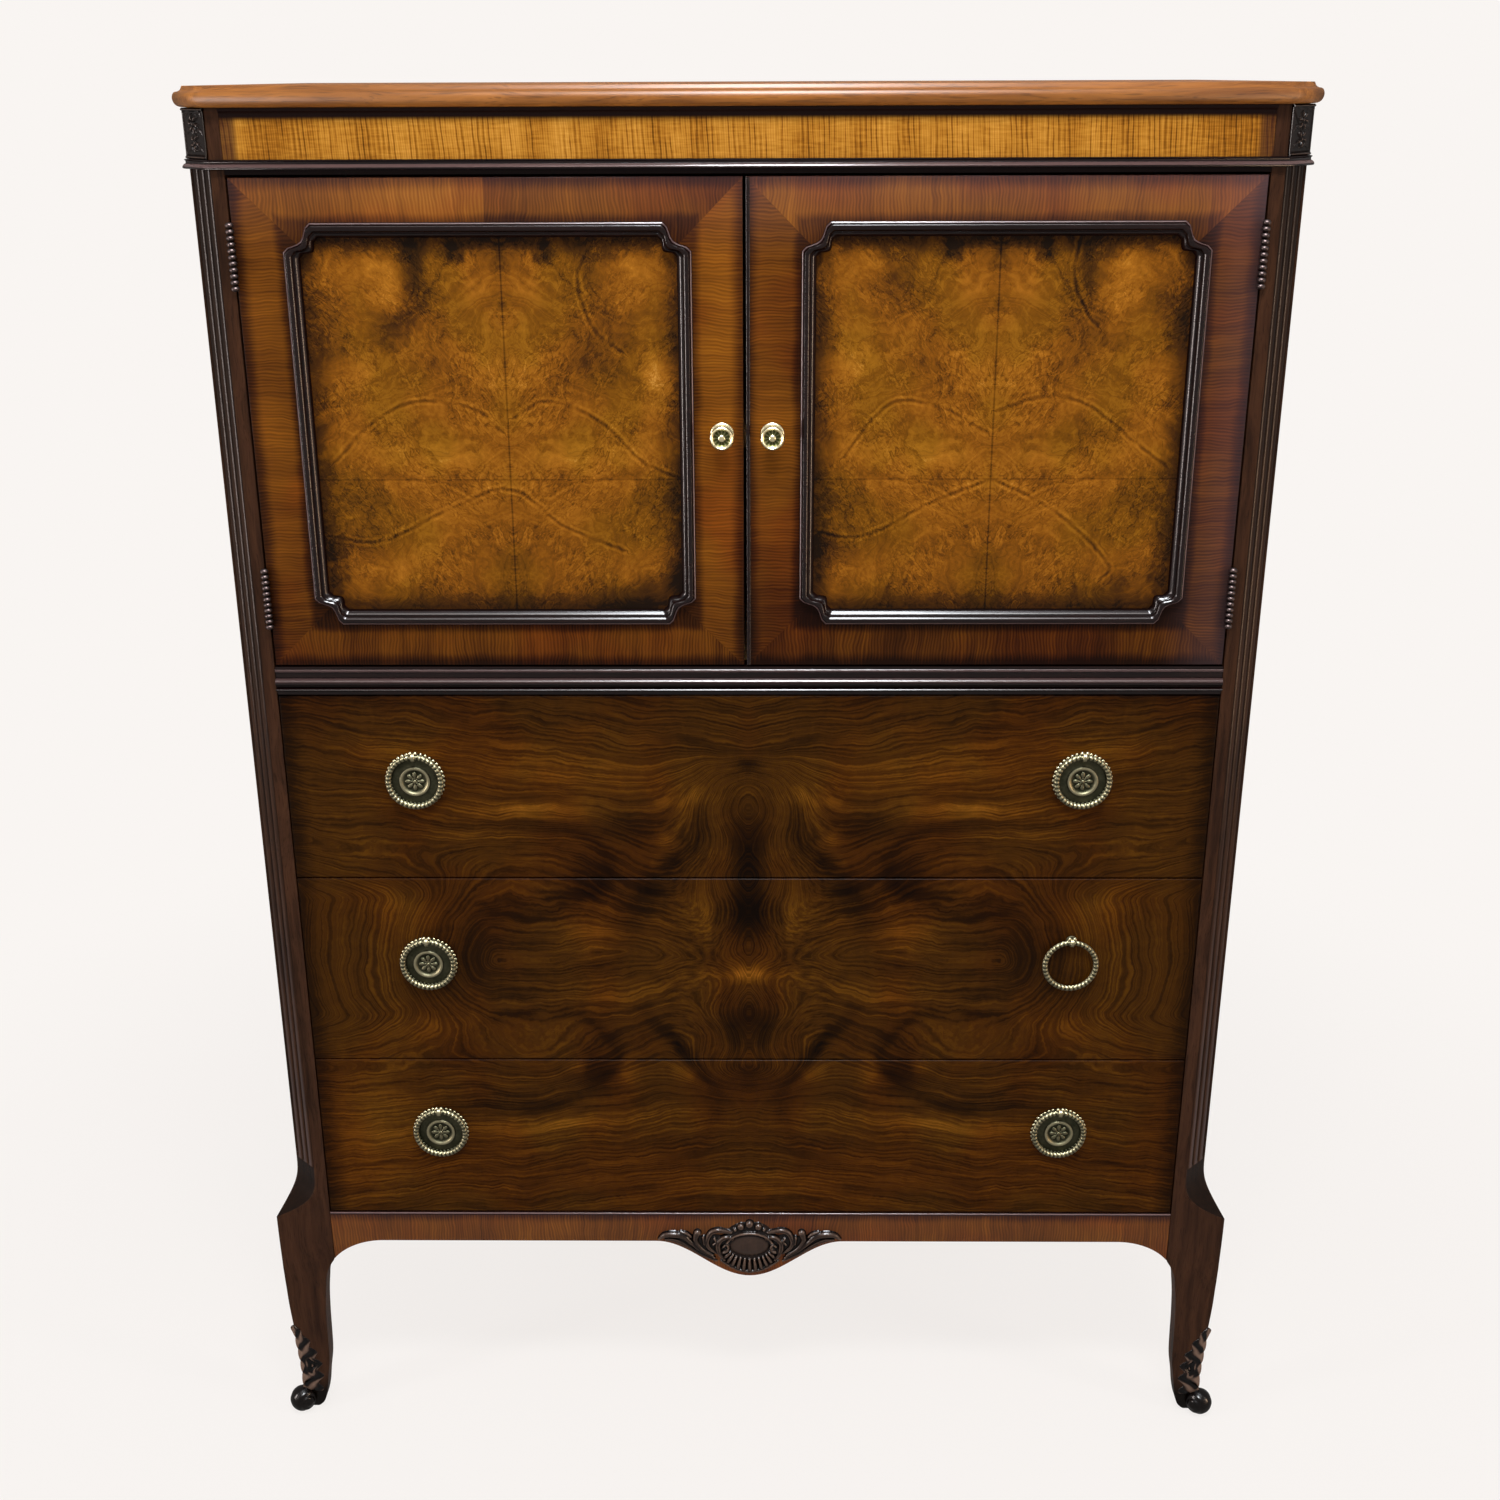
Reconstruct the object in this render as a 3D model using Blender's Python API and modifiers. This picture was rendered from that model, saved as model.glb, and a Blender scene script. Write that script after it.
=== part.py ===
"""A walnut gentleman's chest: two panelled doors over three drawers, on cabriole legs.

Lengths are in metres. x runs across the front, y back from the front face, and z up from the floor.
Every piece is drawn in that frame, which one empty then centres in depth.
"""

import math

import bmesh
import bpy
from mathutils import Matrix, Vector

# Clearances that every piece shares
FIT = 0.0003  # between two pieces that touch
CUT_OVER = 0.001  # how far a cutter or a joined piece reaches past the surface
MERGE = 0.000001  # points this close are one point
FLAT = math.radians(0.2)  # faces that meet at less than this are one face

# The case
CASE_WIDTH = 0.922
CASE_DEPTH = 0.455
POST_WIDTH = 0.0348
CORNER_CANT = 0.0235  # how far the front corner is cut back, along the front and along the side
PANEL_THICKNESS = 0.012
SIDE_RECESS = 0.002
BACK_THICKNESS = 0.006
BACK_RECESS = 0.002

# The heights, from the floor up
APRON_CLEARANCE = 0.2048
APRON_HEIGHT = 0.0342
APRON_GAP = 0.0021
DRAWER_FRONT_HEIGHTS = (0.1751, 0.1934, 0.1801)  # bottom, middle, top
DRAWER_GAP = 0.0016
WAIST_HEIGHT = 0.0262
DOOR_SILL_GAP = 0.0017
DOOR_HEIGHT = 0.4180
DOOR_HEAD_GAP = 0.0023
FRIEZE_HEIGHT = 0.0515

# The top board
TOP_THICKNESS = 0.0165
TOP_FRONT_OVERHANG = 0.012
TOP_SIDE_OVERHANG = 0.007
TOP_BACK_OVERHANG = 0.003
TOP_EDGE_INSET = 0.008
# down the edge: share of the inset, share of the thickness
TOP_EDGE_SHARES = (
    (1, 0), (0.92, 0.10), (0.65, 0.23), (0.60, 0.26), (0.16, 0.34), (0, 0.55), (0.10, 0.78), (0.40, 0.94), (0.85, 1),
)

# The frieze rail and its mouldings
RAIL_THICKNESS = 0.022
FILLET_HEIGHT = 0.0025
FILLET_PROJECTION = 0.004
COVE_HEIGHT = 0.0043
COVE_STEPS = 3
ASTRAGAL_DROP = 0.0397  # from the rail's upper edge to the moulding's
ASTRAGAL_HEIGHT = 0.008
ASTRAGAL_PROJECTION = 0.005
ASTRAGAL_SHARES = ((0, 0.45), (0.14, 0.55), (0.20, 0.80), (0.45, 1), (0.75, 0.92), (0.86, 0.60), (1, 0.45))

# The reeds on the canted corners
REED_COUNT = 3
REED_DEPTH = 0.0022
REED_MARGIN = 0.0020
REED_POINT_SHARES = (0, 0.15, 0.5, 0.85)
REED_FADE = 0.006  # height over which the reeds run out, at the top and at the foot

# The cabriole legs
KNEE_HEIGHT = 0.2441
SCOOP_HEIGHT = 0.046  # from the knee up to the end of the reeds
KNEE_FLARE = 0.0150
SCOOP_STEPS = 8
SPANDREL_RUN = 0.0615
SPANDREL_DROP = 0.048
SPANDREL_STEPS = 7
BACK_CORNER_SHARE = 0.5  # of the leg's width, cut off its inner back corner
BACK_CORNER_TURN = 0.4  # the corner is fully cut where the faces have turned this far
# down the leg: share of the knee's height, flare of the outer edge as a share of the knee's,
# width of the leg as a share of the post's, turn of the faces from the case's to the corner's
LEG_SHARES = (
    (0.960, 1.00, None, 0.00),
    (0.880, 0.99, None, 0.02),
    (0.800, 0.97, None, 0.05),
    (0.7475, 0.96, None, 0.12),
    (0.727, 0.95, None, 0.18),
    (0.705, 0.94, None, 0.24),
    (0.676, 0.93, None, 0.32),
    (0.643, 0.91, 0.733, 0.40),
    (0.560, 0.87, 0.675, 0.54),
    (0.450, 0.77, 0.640, 0.68),
    (0.350, 0.65, 0.625, 0.78),
    (0.250, 0.55, 0.600, 0.86),
    (0.170, 0.51, 0.520, 0.92),
    (0.100, 0.54, 0.430, 1.00),
    (0.040, 0.52, 0.345, 1.00),
    (0.000, 0.40, 0.250, 1.00),
)
TOE_OUT = 0.010  # how far the toe's centre lies outside the case, along the front and the side
TOE_RADIUS = 0.0135
TOE_LIFT = 0.0004  # so that the sole takes the floor, not the round toe
TOE_SEGMENTS = 16
TOE_RINGS = 8

# The apron
APRON_THICKNESS = 0.020
DROP_DEPTH = 0.042
DROP_HALF_WIDTH = 0.095
DROP_STEPS = 12

# The carved cartouche on the apron
CARVING_THICKNESS = 0.0038
CARVING_HALF_WIDTH = 0.0916
CARVING_HEIGHT = 0.066
CARVING_DROP = 0.0403  # its lowest point, below the apron's straight edge
# round the right half, from the top: share of the half width, share of the height
CARVING_SHARES = (
    (0, 1), (0.15, 0.98), (0.19, 0.87), (0.40, 0.875), (0.46, 0.83), (0.58, 0.83), (0.65, 0.75), (0.85, 0.76),
    (1, 0.68), (0.87, 0.65), (0.70, 0.60), (0.57, 0.46), (0.33, 0.23), (0.15, 0.05), (0, 0),
)
BOSS_HALF_WIDTH = 0.0205
BOSS_HALF_HEIGHT = 0.0140
BOSS_PROJECTION = 0.0034
BOSS_RISE = 0.0365  # the boss's centre above the carving's lowest point
CROWN_RADIUS = 0.0085
CROWN_RISE = 0.0590
BOSS_SEGMENTS = 16
BOSS_RINGS = 8

# The boards inside
FLOOR_THICKNESS = 0.018
WAIST_RAIL_DEPTH = 0.022
FLOOR_STEP = 0.0005  # the board stands this far above its moulded edge
SHELF_THICKNESS = 0.016
SHELF_RISE = 0.189  # above the cupboard's floor
SHELF_SETBACK = 0.040
DUST_THICKNESS = 0.016
BOTTOM_THICKNESS = 0.012

# The waist moulding, up from its lower edge: share of the projection, share of the height
WAIST_PROJECTION = 0.005
WAIST_SHARES = (
    (0.24, 0.03), (0.24, 0.11), (0, 0.14), (0, 0.25), (0.70, 0.28), (0.90, 0.34), (0.70, 0.405), (0.60, 0.43),
    (0.90, 0.48), (1, 0.55), (0.70, 0.61), (0, 0.64), (0, 0.82), (0.24, 0.85), (0.30, 0.92), (0.24, 0.97),
)

# The doors
DOOR_THICKNESS = 0.020
DOOR_SIDE_GAP = 0.0017
MEETING_GAP = 0.0025
MEETING_OFFSET = 0.00205  # the gap's centre lies this far to the left of the case's
MEETING_BEAD_WIDTH = 0.0035
MEETING_BEAD_PROJECTION = 0.0010
MEETING_BEAD_DEPTH = 0.010
MEETING_BEAD_PROUD = 0.0002
MEETING_STILE = 0.0455  # from the case's centre to the moulding's outer edge
HUNG_STILE = 0.0410  # from the door's hung edge to the moulding's outer edge
UPPER_RAIL = 0.0352
LOWER_RAIL = 0.0388
MOULDING_WIDTH = 0.0125
MOULDING_PROJECTION = 0.0065
MOULDING_ON_FRAME_SHARE = 0.70  # share of its width that lies on the frame
# from the outer to the inner edge: share of the width, share of the projection
MOULDING_SHARES = ((0, 0), (0, 0.40), (0.22, 0.92), (0.40, 1), (0.56, 0.95), (0.84, 0.30))
NOTCH = 0.0235  # how far the moulding's corner is cut back, each way
NOTCH_STEP = 0.0035
NOTCH_HOLLOW = 0.0015
PANEL_SINK = 0.004
DOOR_PANEL_THICKNESS = 0.008

# The knobs
KNOB_FROM_CENTRE = 0.0215
KNOB_RISE = 0.2073  # above the door's lower edge
KNOB_RADIUS = 0.01025
KNOB_PROJECTION = 0.0200
# out from the door: share of the radius, share of the projection
KNOB_SHARES = (
    (0, 1), (0.25, 1), (0.42, 0.96), (0.50, 0.89), (0.68, 0.88), (0.80, 0.955), (0.94, 0.94), (1, 0.86),
    (0.93, 0.76), (0.60, 0.62), (0.36, 0.45), (0.40, 0.25), (0.62, 0.13), (0.92, 0.09), (1, 0.05), (1, 0), (0, 0),
)
TURNED_STEPS = 24

# The butt hinges
HINGE_LENGTH = 0.056
HINGE_INSET = 0.0345  # from the door's upper or lower edge to the hinge's end
FINIAL_LENGTH = 0.0055
KNUCKLE_RADIUS = 0.0036
KNUCKLE_WAIST_SHARE = 0.72
KNUCKLE_GAP = 0.0003
BEADS_PER_KNUCKLE = 3
KNUCKLES = 3
PIN_RADIUS = 0.0014
PIN_CLEARANCE = 0.0003
LEAF_THICKNESS = 0.0014
LEAF_DEPTH = 0.018
LEAF_PROUD = 0.0004  # how far a leaf stands out of its mortise, into the gap beside the door
HINGE_STEPS = 8
# the finial, from its tip: share of the knuckle's radius, share of the finial's length
FINIAL_SHARES = ((0, 1), (0.55, 0.88), (0.80, 0.60), (0.55, 0.30), (0.45, 0.12))

# The drawers
DRAWER_SIDE_GAP = 0.0012
FRONT_THICKNESS = 0.020
BOX_CLEARANCE = 0.0037  # between a drawer's side and the rear posts
BOX_BACK_GAP = 0.0073  # between the drawer's end and the back panel
SIDE_THICKNESS = 0.012
SIDE_TOP_DROP = 0.018
BOTTOM_RISE = 0.010
DRAWER_BOTTOM_THICKNESS = 0.006

# The pulls
PULL_FROM_END = 0.1185  # from the drawer front's end
PULL_RISES = (0.0069, 0.0083, 0.0081)  # above the front's middle: bottom, middle, top
PLATE_RADIUS = 0.028
PLATE_THICKNESS = 0.0015
PLATE_RAISED = 0.0042  # the raised ring's height over the drawer's face
RAISED_RADIUS = 0.0165
# in from the plate's rim: share of the raised ring's radius, share of its height
RAISED_SHARES = ((0.94, 1), (0.86, 1), (0.78, 0.60), (0.36, 0.70), (0, 0.95))
RIM_SHARE = 0.6  # the rim's edge is this share of the plate's thickness
RING_RADIUS = 0.0242
RING_WIRE = 0.0026
RING_SEGMENTS = 28
RING_SIDES = 8
EYE_WALL = 0.0012
EYE_LENGTH = 0.004
EYE_CLEARANCE = 0.0004
EYE_SIDES = 10
WASHER_RADIUS = 0.0052
WASHER_THICKNESS = 0.0011
LOST_PLATE = (1, 1)  # the middle drawer's right-hand pull has only its washer and eye

# Worked out from the sizes above
HALF = CASE_WIDTH / 2
POST_INNER = HALF - POST_WIDTH
PANEL_INNER = HALF - SIDE_RECESS - PANEL_THICKNESS
REAR_POST = CASE_DEPTH - POST_WIDTH
BACK_INNER = CASE_DEPTH - BACK_RECESS - BACK_THICKNESS
APRON_TOP = APRON_CLEARANCE + APRON_HEIGHT
FRONT_BOTTOMS = [APRON_TOP + APRON_GAP]
for front_height in DRAWER_FRONT_HEIGHTS[:-1]:
    FRONT_BOTTOMS.append(FRONT_BOTTOMS[-1] + front_height + DRAWER_GAP)
WAIST_BOTTOM = FRONT_BOTTOMS[-1] + DRAWER_FRONT_HEIGHTS[-1] + DRAWER_GAP
WAIST_TOP = WAIST_BOTTOM + WAIST_HEIGHT
DOOR_BOTTOM = WAIST_TOP + DOOR_SILL_GAP
DOOR_TOP = DOOR_BOTTOM + DOOR_HEIGHT
FRIEZE_BOTTOM = DOOR_TOP + DOOR_HEAD_GAP
CASE_TOP = FRIEZE_BOTTOM + FRIEZE_HEIGHT
HEIGHT = CASE_TOP + FIT + TOP_THICKNESS
ASTRAGAL_TOP = CASE_TOP - ASTRAGAL_DROP
REED_FOOT = KNEE_HEIGHT + SCOOP_HEIGHT
BOARD_HALF = PANEL_INNER - FIT
SHELF_HEIGHT = WAIST_TOP + FLOOR_STEP + SHELF_RISE
DOOR_EDGE = POST_INNER - DOOR_SIDE_GAP
FRONT_HALF = POST_INNER - DRAWER_SIDE_GAP
CARVING_BASE = APRON_CLEARANCE - CARVING_DROP
PIN_X = POST_INNER - DOOR_SIDE_GAP / 2
PIN_Y = -(KNUCKLE_RADIUS + FIT)
RING_Y = -(FIT + PLATE_THICKNESS + FIT + RING_WIRE)
TOE_REACH = TOE_OUT + TOE_RADIUS
FRONT_Y = (TOE_REACH - CASE_DEPTH - TOP_BACK_OVERHANG) / 2  # puts the middle of the depth at y = 0

# Walnut, in its shades, and the metals: colour, roughness, metallic
FINISHES = {
    "top_walnut": ((0.33, 0.10, 0.03), 0.35, 0),
    "frieze_fiddleback": ((0.42, 0.18, 0.03), 0.35, 0),
    "door_crossband": ((0.22, 0.07, 0.02), 0.35, 0),
    "burl_walnut": ((0.36, 0.14, 0.02), 0.30, 0),
    "crotch_walnut": ((0.09, 0.033, 0.01), 0.35, 0),
    "dark_moulding": ((0.04, 0.015, 0.012), 0.30, 0),
    "post_walnut": ((0.05, 0.022, 0.012), 0.40, 0),
    "side_walnut": ((0.09, 0.035, 0.012), 0.40, 0),
    "inner_wood": ((0.35, 0.20, 0.09), 0.60, 0),
    "carved_walnut": ((0.03, 0.014, 0.009), 0.40, 0),
    "polished_brass": ((0.80, 0.68, 0.38), 0.20, 1),
    "aged_brass": ((0.20, 0.19, 0.12), 0.40, 1),
    "hinge_bronze": ((0.12, 0.09, 0.08), 0.40, 1),
}


def collection(name):
    made = bpy.data.collections.new(name)
    bpy.context.scene.collection.children.link(made)
    return made


def finish(name):
    material = bpy.data.materials.get(name) or bpy.data.materials.new(name)
    colour, roughness, metallic = FINISHES[name]
    material.use_nodes = True
    shader = material.node_tree.nodes["Principled BSDF"]
    shader.inputs["Base Color"].default_value = (*colour, 1)
    shader.inputs["Roughness"].default_value = roughness
    shader.inputs["Metallic"].default_value = metallic
    return material


def holder(name, place=(0, 0, 0), parent=None):
    """An empty that carries pieces, at a place in the case's own frame."""
    empty = bpy.data.objects.new(name, None)
    empty.location = place
    pieces.objects.link(empty)
    if parent is None:
        empty.location = (place[0], place[1] + FRONT_Y, place[2])
    else:
        empty.parent = parent
    return empty


def carry(piece, carrier, material=None):
    """Hangs a piece, drawn in the case's frame, on an empty without moving it."""
    piece.parent = carrier
    if carrier is not case:
        piece.matrix_parent_inverse = Matrix.Translation(-carrier.location)
    if material is not None:
        piece.data.materials.clear()
        piece.data.materials.append(finish(material))
    return piece


def linked(name, mesh, group=None):
    piece = bpy.data.objects.new(name, mesh)
    (group or pieces).objects.link(piece)
    return piece


def as_mesh(name, bm):
    mesh = bpy.data.meshes.new(name)
    bm.to_mesh(mesh)
    bm.free()
    return mesh


def smooth(piece, angle=math.radians(35)):
    piece.data.shade_smooth()
    piece.data.set_sharp_from_angle(angle=angle)
    return piece


def box(name, low, high, group=None):
    """A box between two corners, with its origin at its middle."""
    low, high = Vector(low), Vector(high)
    bm = bmesh.new()
    bmesh.ops.create_cube(bm, size=1)
    bmesh.ops.scale(bm, verts=bm.verts, vec=high - low)
    piece = linked(name, as_mesh(name, bm), group)
    piece.location = (low + high) / 2
    return piece


def loft(name, rings, closed=False):
    """A skin over rings of one length, capped at both ends unless it runs round into itself."""
    bm = bmesh.new()
    rows = [[bm.verts.new(point) for point in ring] for ring in rings]
    count = len(rings[0])
    for row, following in zip(rows, rows[1:] + (rows[:1] if closed else [])):
        for j in range(count):
            k = (j + 1) % count
            bm.faces.new((row[j], row[k], following[k], following[j]))
    if not closed:
        bm.faces.new(rows[0])
        bm.faces.new(rows[-1])
    bmesh.ops.remove_doubles(bm, verts=bm.verts, dist=MERGE)
    bmesh.ops.recalc_face_normals(bm, faces=bm.faces)
    return linked(name, as_mesh(name, bm))


FACINGS = {
    "front": (math.pi / 2, 0, 0),  # outline in x and z, seen from the front
    "side": (math.pi / 2, 0, math.pi / 2),  # outline in y and z
    "up": (0, 0, 0),  # outline in x and y
}


def plate(name, outlines, start, thickness, facing="front"):
    """A flat piece cut to an outline, with any holes, from start to start + thickness."""
    curve = bpy.data.curves.new(name, "CURVE")
    curve.dimensions = "2D"
    curve.fill_mode = "BOTH"
    curve.extrude = thickness / 2
    for outline in outlines:
        spline = curve.splines.new("POLY")
        spline.points.add(len(outline) - 1)
        for point, (along, across) in zip(spline.points, outline):
            point.co = (along, across, 0, 1)
        spline.use_cyclic_u = True
    drawn = linked(name + "_outline", curve)
    drawn.rotation_euler = FACINGS[facing]
    middle = start + thickness / 2
    drawn.location = {"front": (0, middle, 0), "side": (middle, 0, 0), "up": (0, 0, middle)}[facing]
    bpy.context.view_layer.update()
    mesh = bpy.data.meshes.new_from_object(drawn.evaluated_get(bpy.context.evaluated_depsgraph_get()))
    bm = bmesh.new()
    bm.from_mesh(mesh)
    bpy.data.meshes.remove(mesh)
    bmesh.ops.remove_doubles(bm, verts=bm.verts, dist=MERGE)
    bmesh.ops.dissolve_limit(bm, angle_limit=FLAT, verts=bm.verts, edges=bm.edges)
    bmesh.ops.recalc_face_normals(bm, faces=bm.faces)
    piece = linked(name, as_mesh(name, bm))
    piece.matrix_world = drawn.matrix_world
    bpy.data.objects.remove(drawn)
    return piece


def turned(name, profile, steps, group=None):
    """A turned shape: (radius, height) pairs down its outer side, screwed about its own z."""
    mesh = bpy.data.meshes.new(name)
    mesh.from_pydata([(r, 0, h) for r, h in profile], [(i, i + 1) for i in range(len(profile) - 1)], [])
    piece = linked(name, mesh, group)
    screw = piece.modifiers.new("turn", "SCREW")
    screw.steps = steps
    screw.render_steps = steps
    screw.use_merge_vertices = True
    screw.merge_threshold = MERGE
    return piece


def bored(name, outer, bore, steps):
    """A turned sleeve: its outer profile runs down, and a plain bore runs back up."""
    profile = outer + [(bore, outer[-1][1]), (bore, outer[0][1]), outer[0]]
    return turned(name, profile, steps)


def facing_front(piece, place):
    piece.rotation_euler = (math.pi / 2, 0, 0)
    piece.location = place
    return piece


def combine(piece, other, operation):
    """Cuts the other shape from the piece, or joins it on, and puts it with the cutters."""
    for group in list(other.users_collection):
        group.objects.unlink(other)
    cutters.objects.link(other)
    other.hide_render = True
    other.display_type = "WIRE"
    other.parent = case
    modifier = piece.modifiers.new(other.name, "BOOLEAN")
    modifier.operation = operation
    modifier.solver = "EXACT"
    modifier.object = other
    return piece


def shares(table, width, height):
    return [(across * width, up * height) for across, up in table]


def mirrored(points):
    return [(-x, *rest) for x, *rest in reversed(points)]


# The case


def top_outline(inset):
    """The top board's plan, moved in by the inset all round."""
    x = HALF + TOP_SIDE_OVERHANG - inset
    front = inset - TOP_FRONT_OVERHANG
    back = CASE_DEPTH + TOP_BACK_OVERHANG - inset
    cant = CORNER_CANT + TOP_SIDE_OVERHANG + inset * (math.sqrt(2) - 2)
    right = [(x, back), (x, front + cant), (x - cant, front)]
    return right + mirrored(right)


def top_board():
    bottom = CASE_TOP + FIT
    rings = []
    for inset, drop in shares(TOP_EDGE_SHARES, TOP_EDGE_INSET, TOP_THICKNESS):
        z = bottom + TOP_THICKNESS - drop
        rings.append([(x, y, z) for x, y in top_outline(inset)])
    carry(smooth(loft("top_board", rings)), case, "top_walnut")


def frieze_rail():
    """The rail over the doors: flat below, then a cove and a fillet under the top board."""
    fillet_z = CASE_TOP - FILLET_HEIGHT
    section = [(RAIL_THICKNESS, FRIEZE_BOTTOM), (0, FRIEZE_BOTTOM)]
    for i in range(COVE_STEPS + 1):
        angle = math.pi / 2 * i / COVE_STEPS
        hollow = FILLET_PROJECTION * (1 - math.cos(angle))
        section.append((-hollow, fillet_z - COVE_HEIGHT * (1 - math.sin(angle))))
    section += [(-FILLET_PROJECTION, CASE_TOP), (RAIL_THICKNESS, CASE_TOP)]
    reach = POST_INNER - FIT
    rings = [[(x, y, z) for y, z in section] for x in (-reach, reach)]
    carry(loft("frieze_rail", rings), case, "frieze_fiddleback")


def case_outline(offset):
    """The case's sides and front in plan, moved out by the offset, from the back left round."""
    x = HALF + offset
    cant = CORNER_CANT + offset * (2 - math.sqrt(2))
    right = [(x, CASE_DEPTH), (x, cant - offset), (x - cant, -offset)]
    return mirrored(right)[::-1] + right[::-1]


def frieze_moulding():
    """The astragal, mitred round the canted corners and run along both sides."""
    bottom = ASTRAGAL_TOP - ASTRAGAL_HEIGHT
    section = shares(ASTRAGAL_SHARES, ASTRAGAL_HEIGHT, ASTRAGAL_PROJECTION)
    lines = [[(x, y, bottom) for x, y in case_outline(FIT)]]
    for up, out in section:
        lines.append([(x, y, bottom + up) for x, y in case_outline(FIT + out)])
    lines.append([(x, y, ASTRAGAL_TOP) for x, y in case_outline(FIT)])
    rings = list(zip(*lines))
    carry(smooth(loft("frieze_moulding", rings)), case, "dark_moulding")


def spandrel_half(z):
    """Half the width of the opening under the case, in the curve from the apron to the leg."""
    start = HALF - POST_WIDTH - SPANDREL_RUN + spandrel_overlap()
    rise = min(max((z - APRON_CLEARANCE + SPANDREL_DROP) / SPANDREL_DROP, 0), 1)
    return start + SPANDREL_RUN * math.sqrt(1 - rise * rise)


def spandrel_overlap():
    """How far the curve runs on into the leg, past the post's inner face."""
    return POST_WIDTH * (1 - LEG_SHARES[7][2])


def leg_rings(canted, back_share):
    """Plan sections of a post with its leg, as (out, forward) from the case's corner, from the top down."""
    reed_width = (CORNER_CANT * math.sqrt(2) - 2 * REED_MARGIN) / REED_COUNT
    along = [0]
    for i in range(REED_COUNT):
        along += [REED_MARGIN + reed_width * (i + share) for share in REED_POINT_SHARES]
    along += [REED_MARGIN + reed_width * REED_COUNT, CORNER_CANT * math.sqrt(2)]

    def depth(place):
        """A reed's hollow below the facet, a circle's arc between two grooves."""
        across = (place - REED_MARGIN) / reed_width
        if across < 0 or across > REED_COUNT:
            return 0
        swing = 2 * (across % 1) - 1
        return REED_DEPTH * (1 - math.sqrt(1 - swing * swing))

    def section(z, edge, flare_side, width, turn, reeded):
        """edge is the facet's end on the front face, and the facet's other end mirrors it."""
        front_in = (-width, turn * flare_side)
        facet = []
        for place in along:
            share = place / along[-1]
            sunk = depth(place) * reeded / math.sqrt(2)
            out = edge[0] * (1 - share) + edge[1] * share - sunk
            forward = edge[1] * (1 - share) + edge[0] * share - sunk
            facet.append((out, forward * (back_share if forward > 0 else 1)))
        side_in = (turn * flare_side, -width)
        cut = BACK_CORNER_SHARE * width * min(turn / BACK_CORNER_TURN, 1)
        corner = [(cut - width, -width), (-width, cut - width)]
        points = [(front_in[0], front_in[1] * back_share)] + facet + [side_in, *corner]
        return [(out, forward, z) for out, forward in points]

    cant = -CORNER_CANT if canted else 0
    flat = (cant, 0)
    rings = [section(CASE_TOP, flat, 0, POST_WIDTH, 0, 0)]
    if canted:
        covered = ASTRAGAL_TOP - ASTRAGAL_HEIGHT
        for z, reeded in ((covered + REED_FADE, 0), (covered, 1), (REED_FOOT + REED_FADE, 1)):
            rings.append(section(z, flat, 0, POST_WIDTH, 0, reeded))
    for i in range(SCOOP_STEPS + 1):
        down = i / SCOOP_STEPS
        down = 1 - (1 - down) ** 1.5
        edge = (cant + (KNEE_FLARE - cant) * down**5, KNEE_FLARE * down**3)
        rings.append(section(REED_FOOT - SCOOP_HEIGHT * down, edge, 0, POST_WIDTH, 0, 0))
    for height, flare, width, turn in LEG_SHARES:
        z = height * KNEE_HEIGHT
        out = flare * KNEE_FLARE
        if width is None:
            wide = HALF - max(spandrel_half(z), POST_INNER)
        else:
            wide = width * POST_WIDTH
        rings.append(section(z, (out, out), out, wide, turn, 0))
    return rings


def leg(name, hand, at_front):
    """A post and leg in one piece. hand is -1 on the left, and the rear legs flare to the side only."""
    rings = leg_rings(at_front, 1 if at_front else 0)
    face, turn = (0, -1) if at_front else (CASE_DEPTH, 1)
    placed = [[(hand * (HALF + out), face + turn * forward, z) for out, forward, z in ring] for ring in rings]
    piece = loft(name, placed)
    if at_front:
        bm = bmesh.new()
        bmesh.ops.create_uvsphere(bm, u_segments=TOE_SEGMENTS, v_segments=TOE_RINGS, radius=TOE_RADIUS)
        toe = linked(name + "_toe", as_mesh(name + "_toe", bm))
        toe.location = (hand * (HALF + TOE_OUT), -TOE_OUT, TOE_RADIUS + TOE_LIFT)
        combine(piece, toe, "UNION")
    return carry(smooth(piece), case, "post_walnut")


def skirt_outline(half_length, run_in, upper):
    """A rail's outline: straight above, and below curved down into the legs at both ends."""
    curve = []
    start = half_length + run_in - SPANDREL_RUN
    joint = math.asin((half_length - start) / SPANDREL_RUN)
    for i in range(SPANDREL_STEPS + 1):
        angle = joint * i / SPANDREL_STEPS
        x = start + SPANDREL_RUN * math.sin(angle)
        curve.append((x, APRON_CLEARANCE - SPANDREL_DROP * (1 - math.cos(angle))))
    right = curve + [(half_length, upper)]
    return right


def apron():
    """The front rail under the drawers, with a bell-shaped drop in its middle."""
    half_length = POST_INNER - FIT
    right = skirt_outline(half_length, spandrel_overlap() + FIT, APRON_TOP)
    drop = []
    for i in range(-DROP_STEPS, DROP_STEPS + 1):
        x = DROP_HALF_WIDTH * i / DROP_STEPS
        drop.append((x, APRON_CLEARANCE - DROP_DEPTH * (1 + math.cos(math.pi * i / DROP_STEPS)) / 2))
    outline = drop + right + mirrored(right)
    piece = plate("apron", [outline], 0, APRON_THICKNESS)
    carry(piece, case, "door_crossband")


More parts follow.
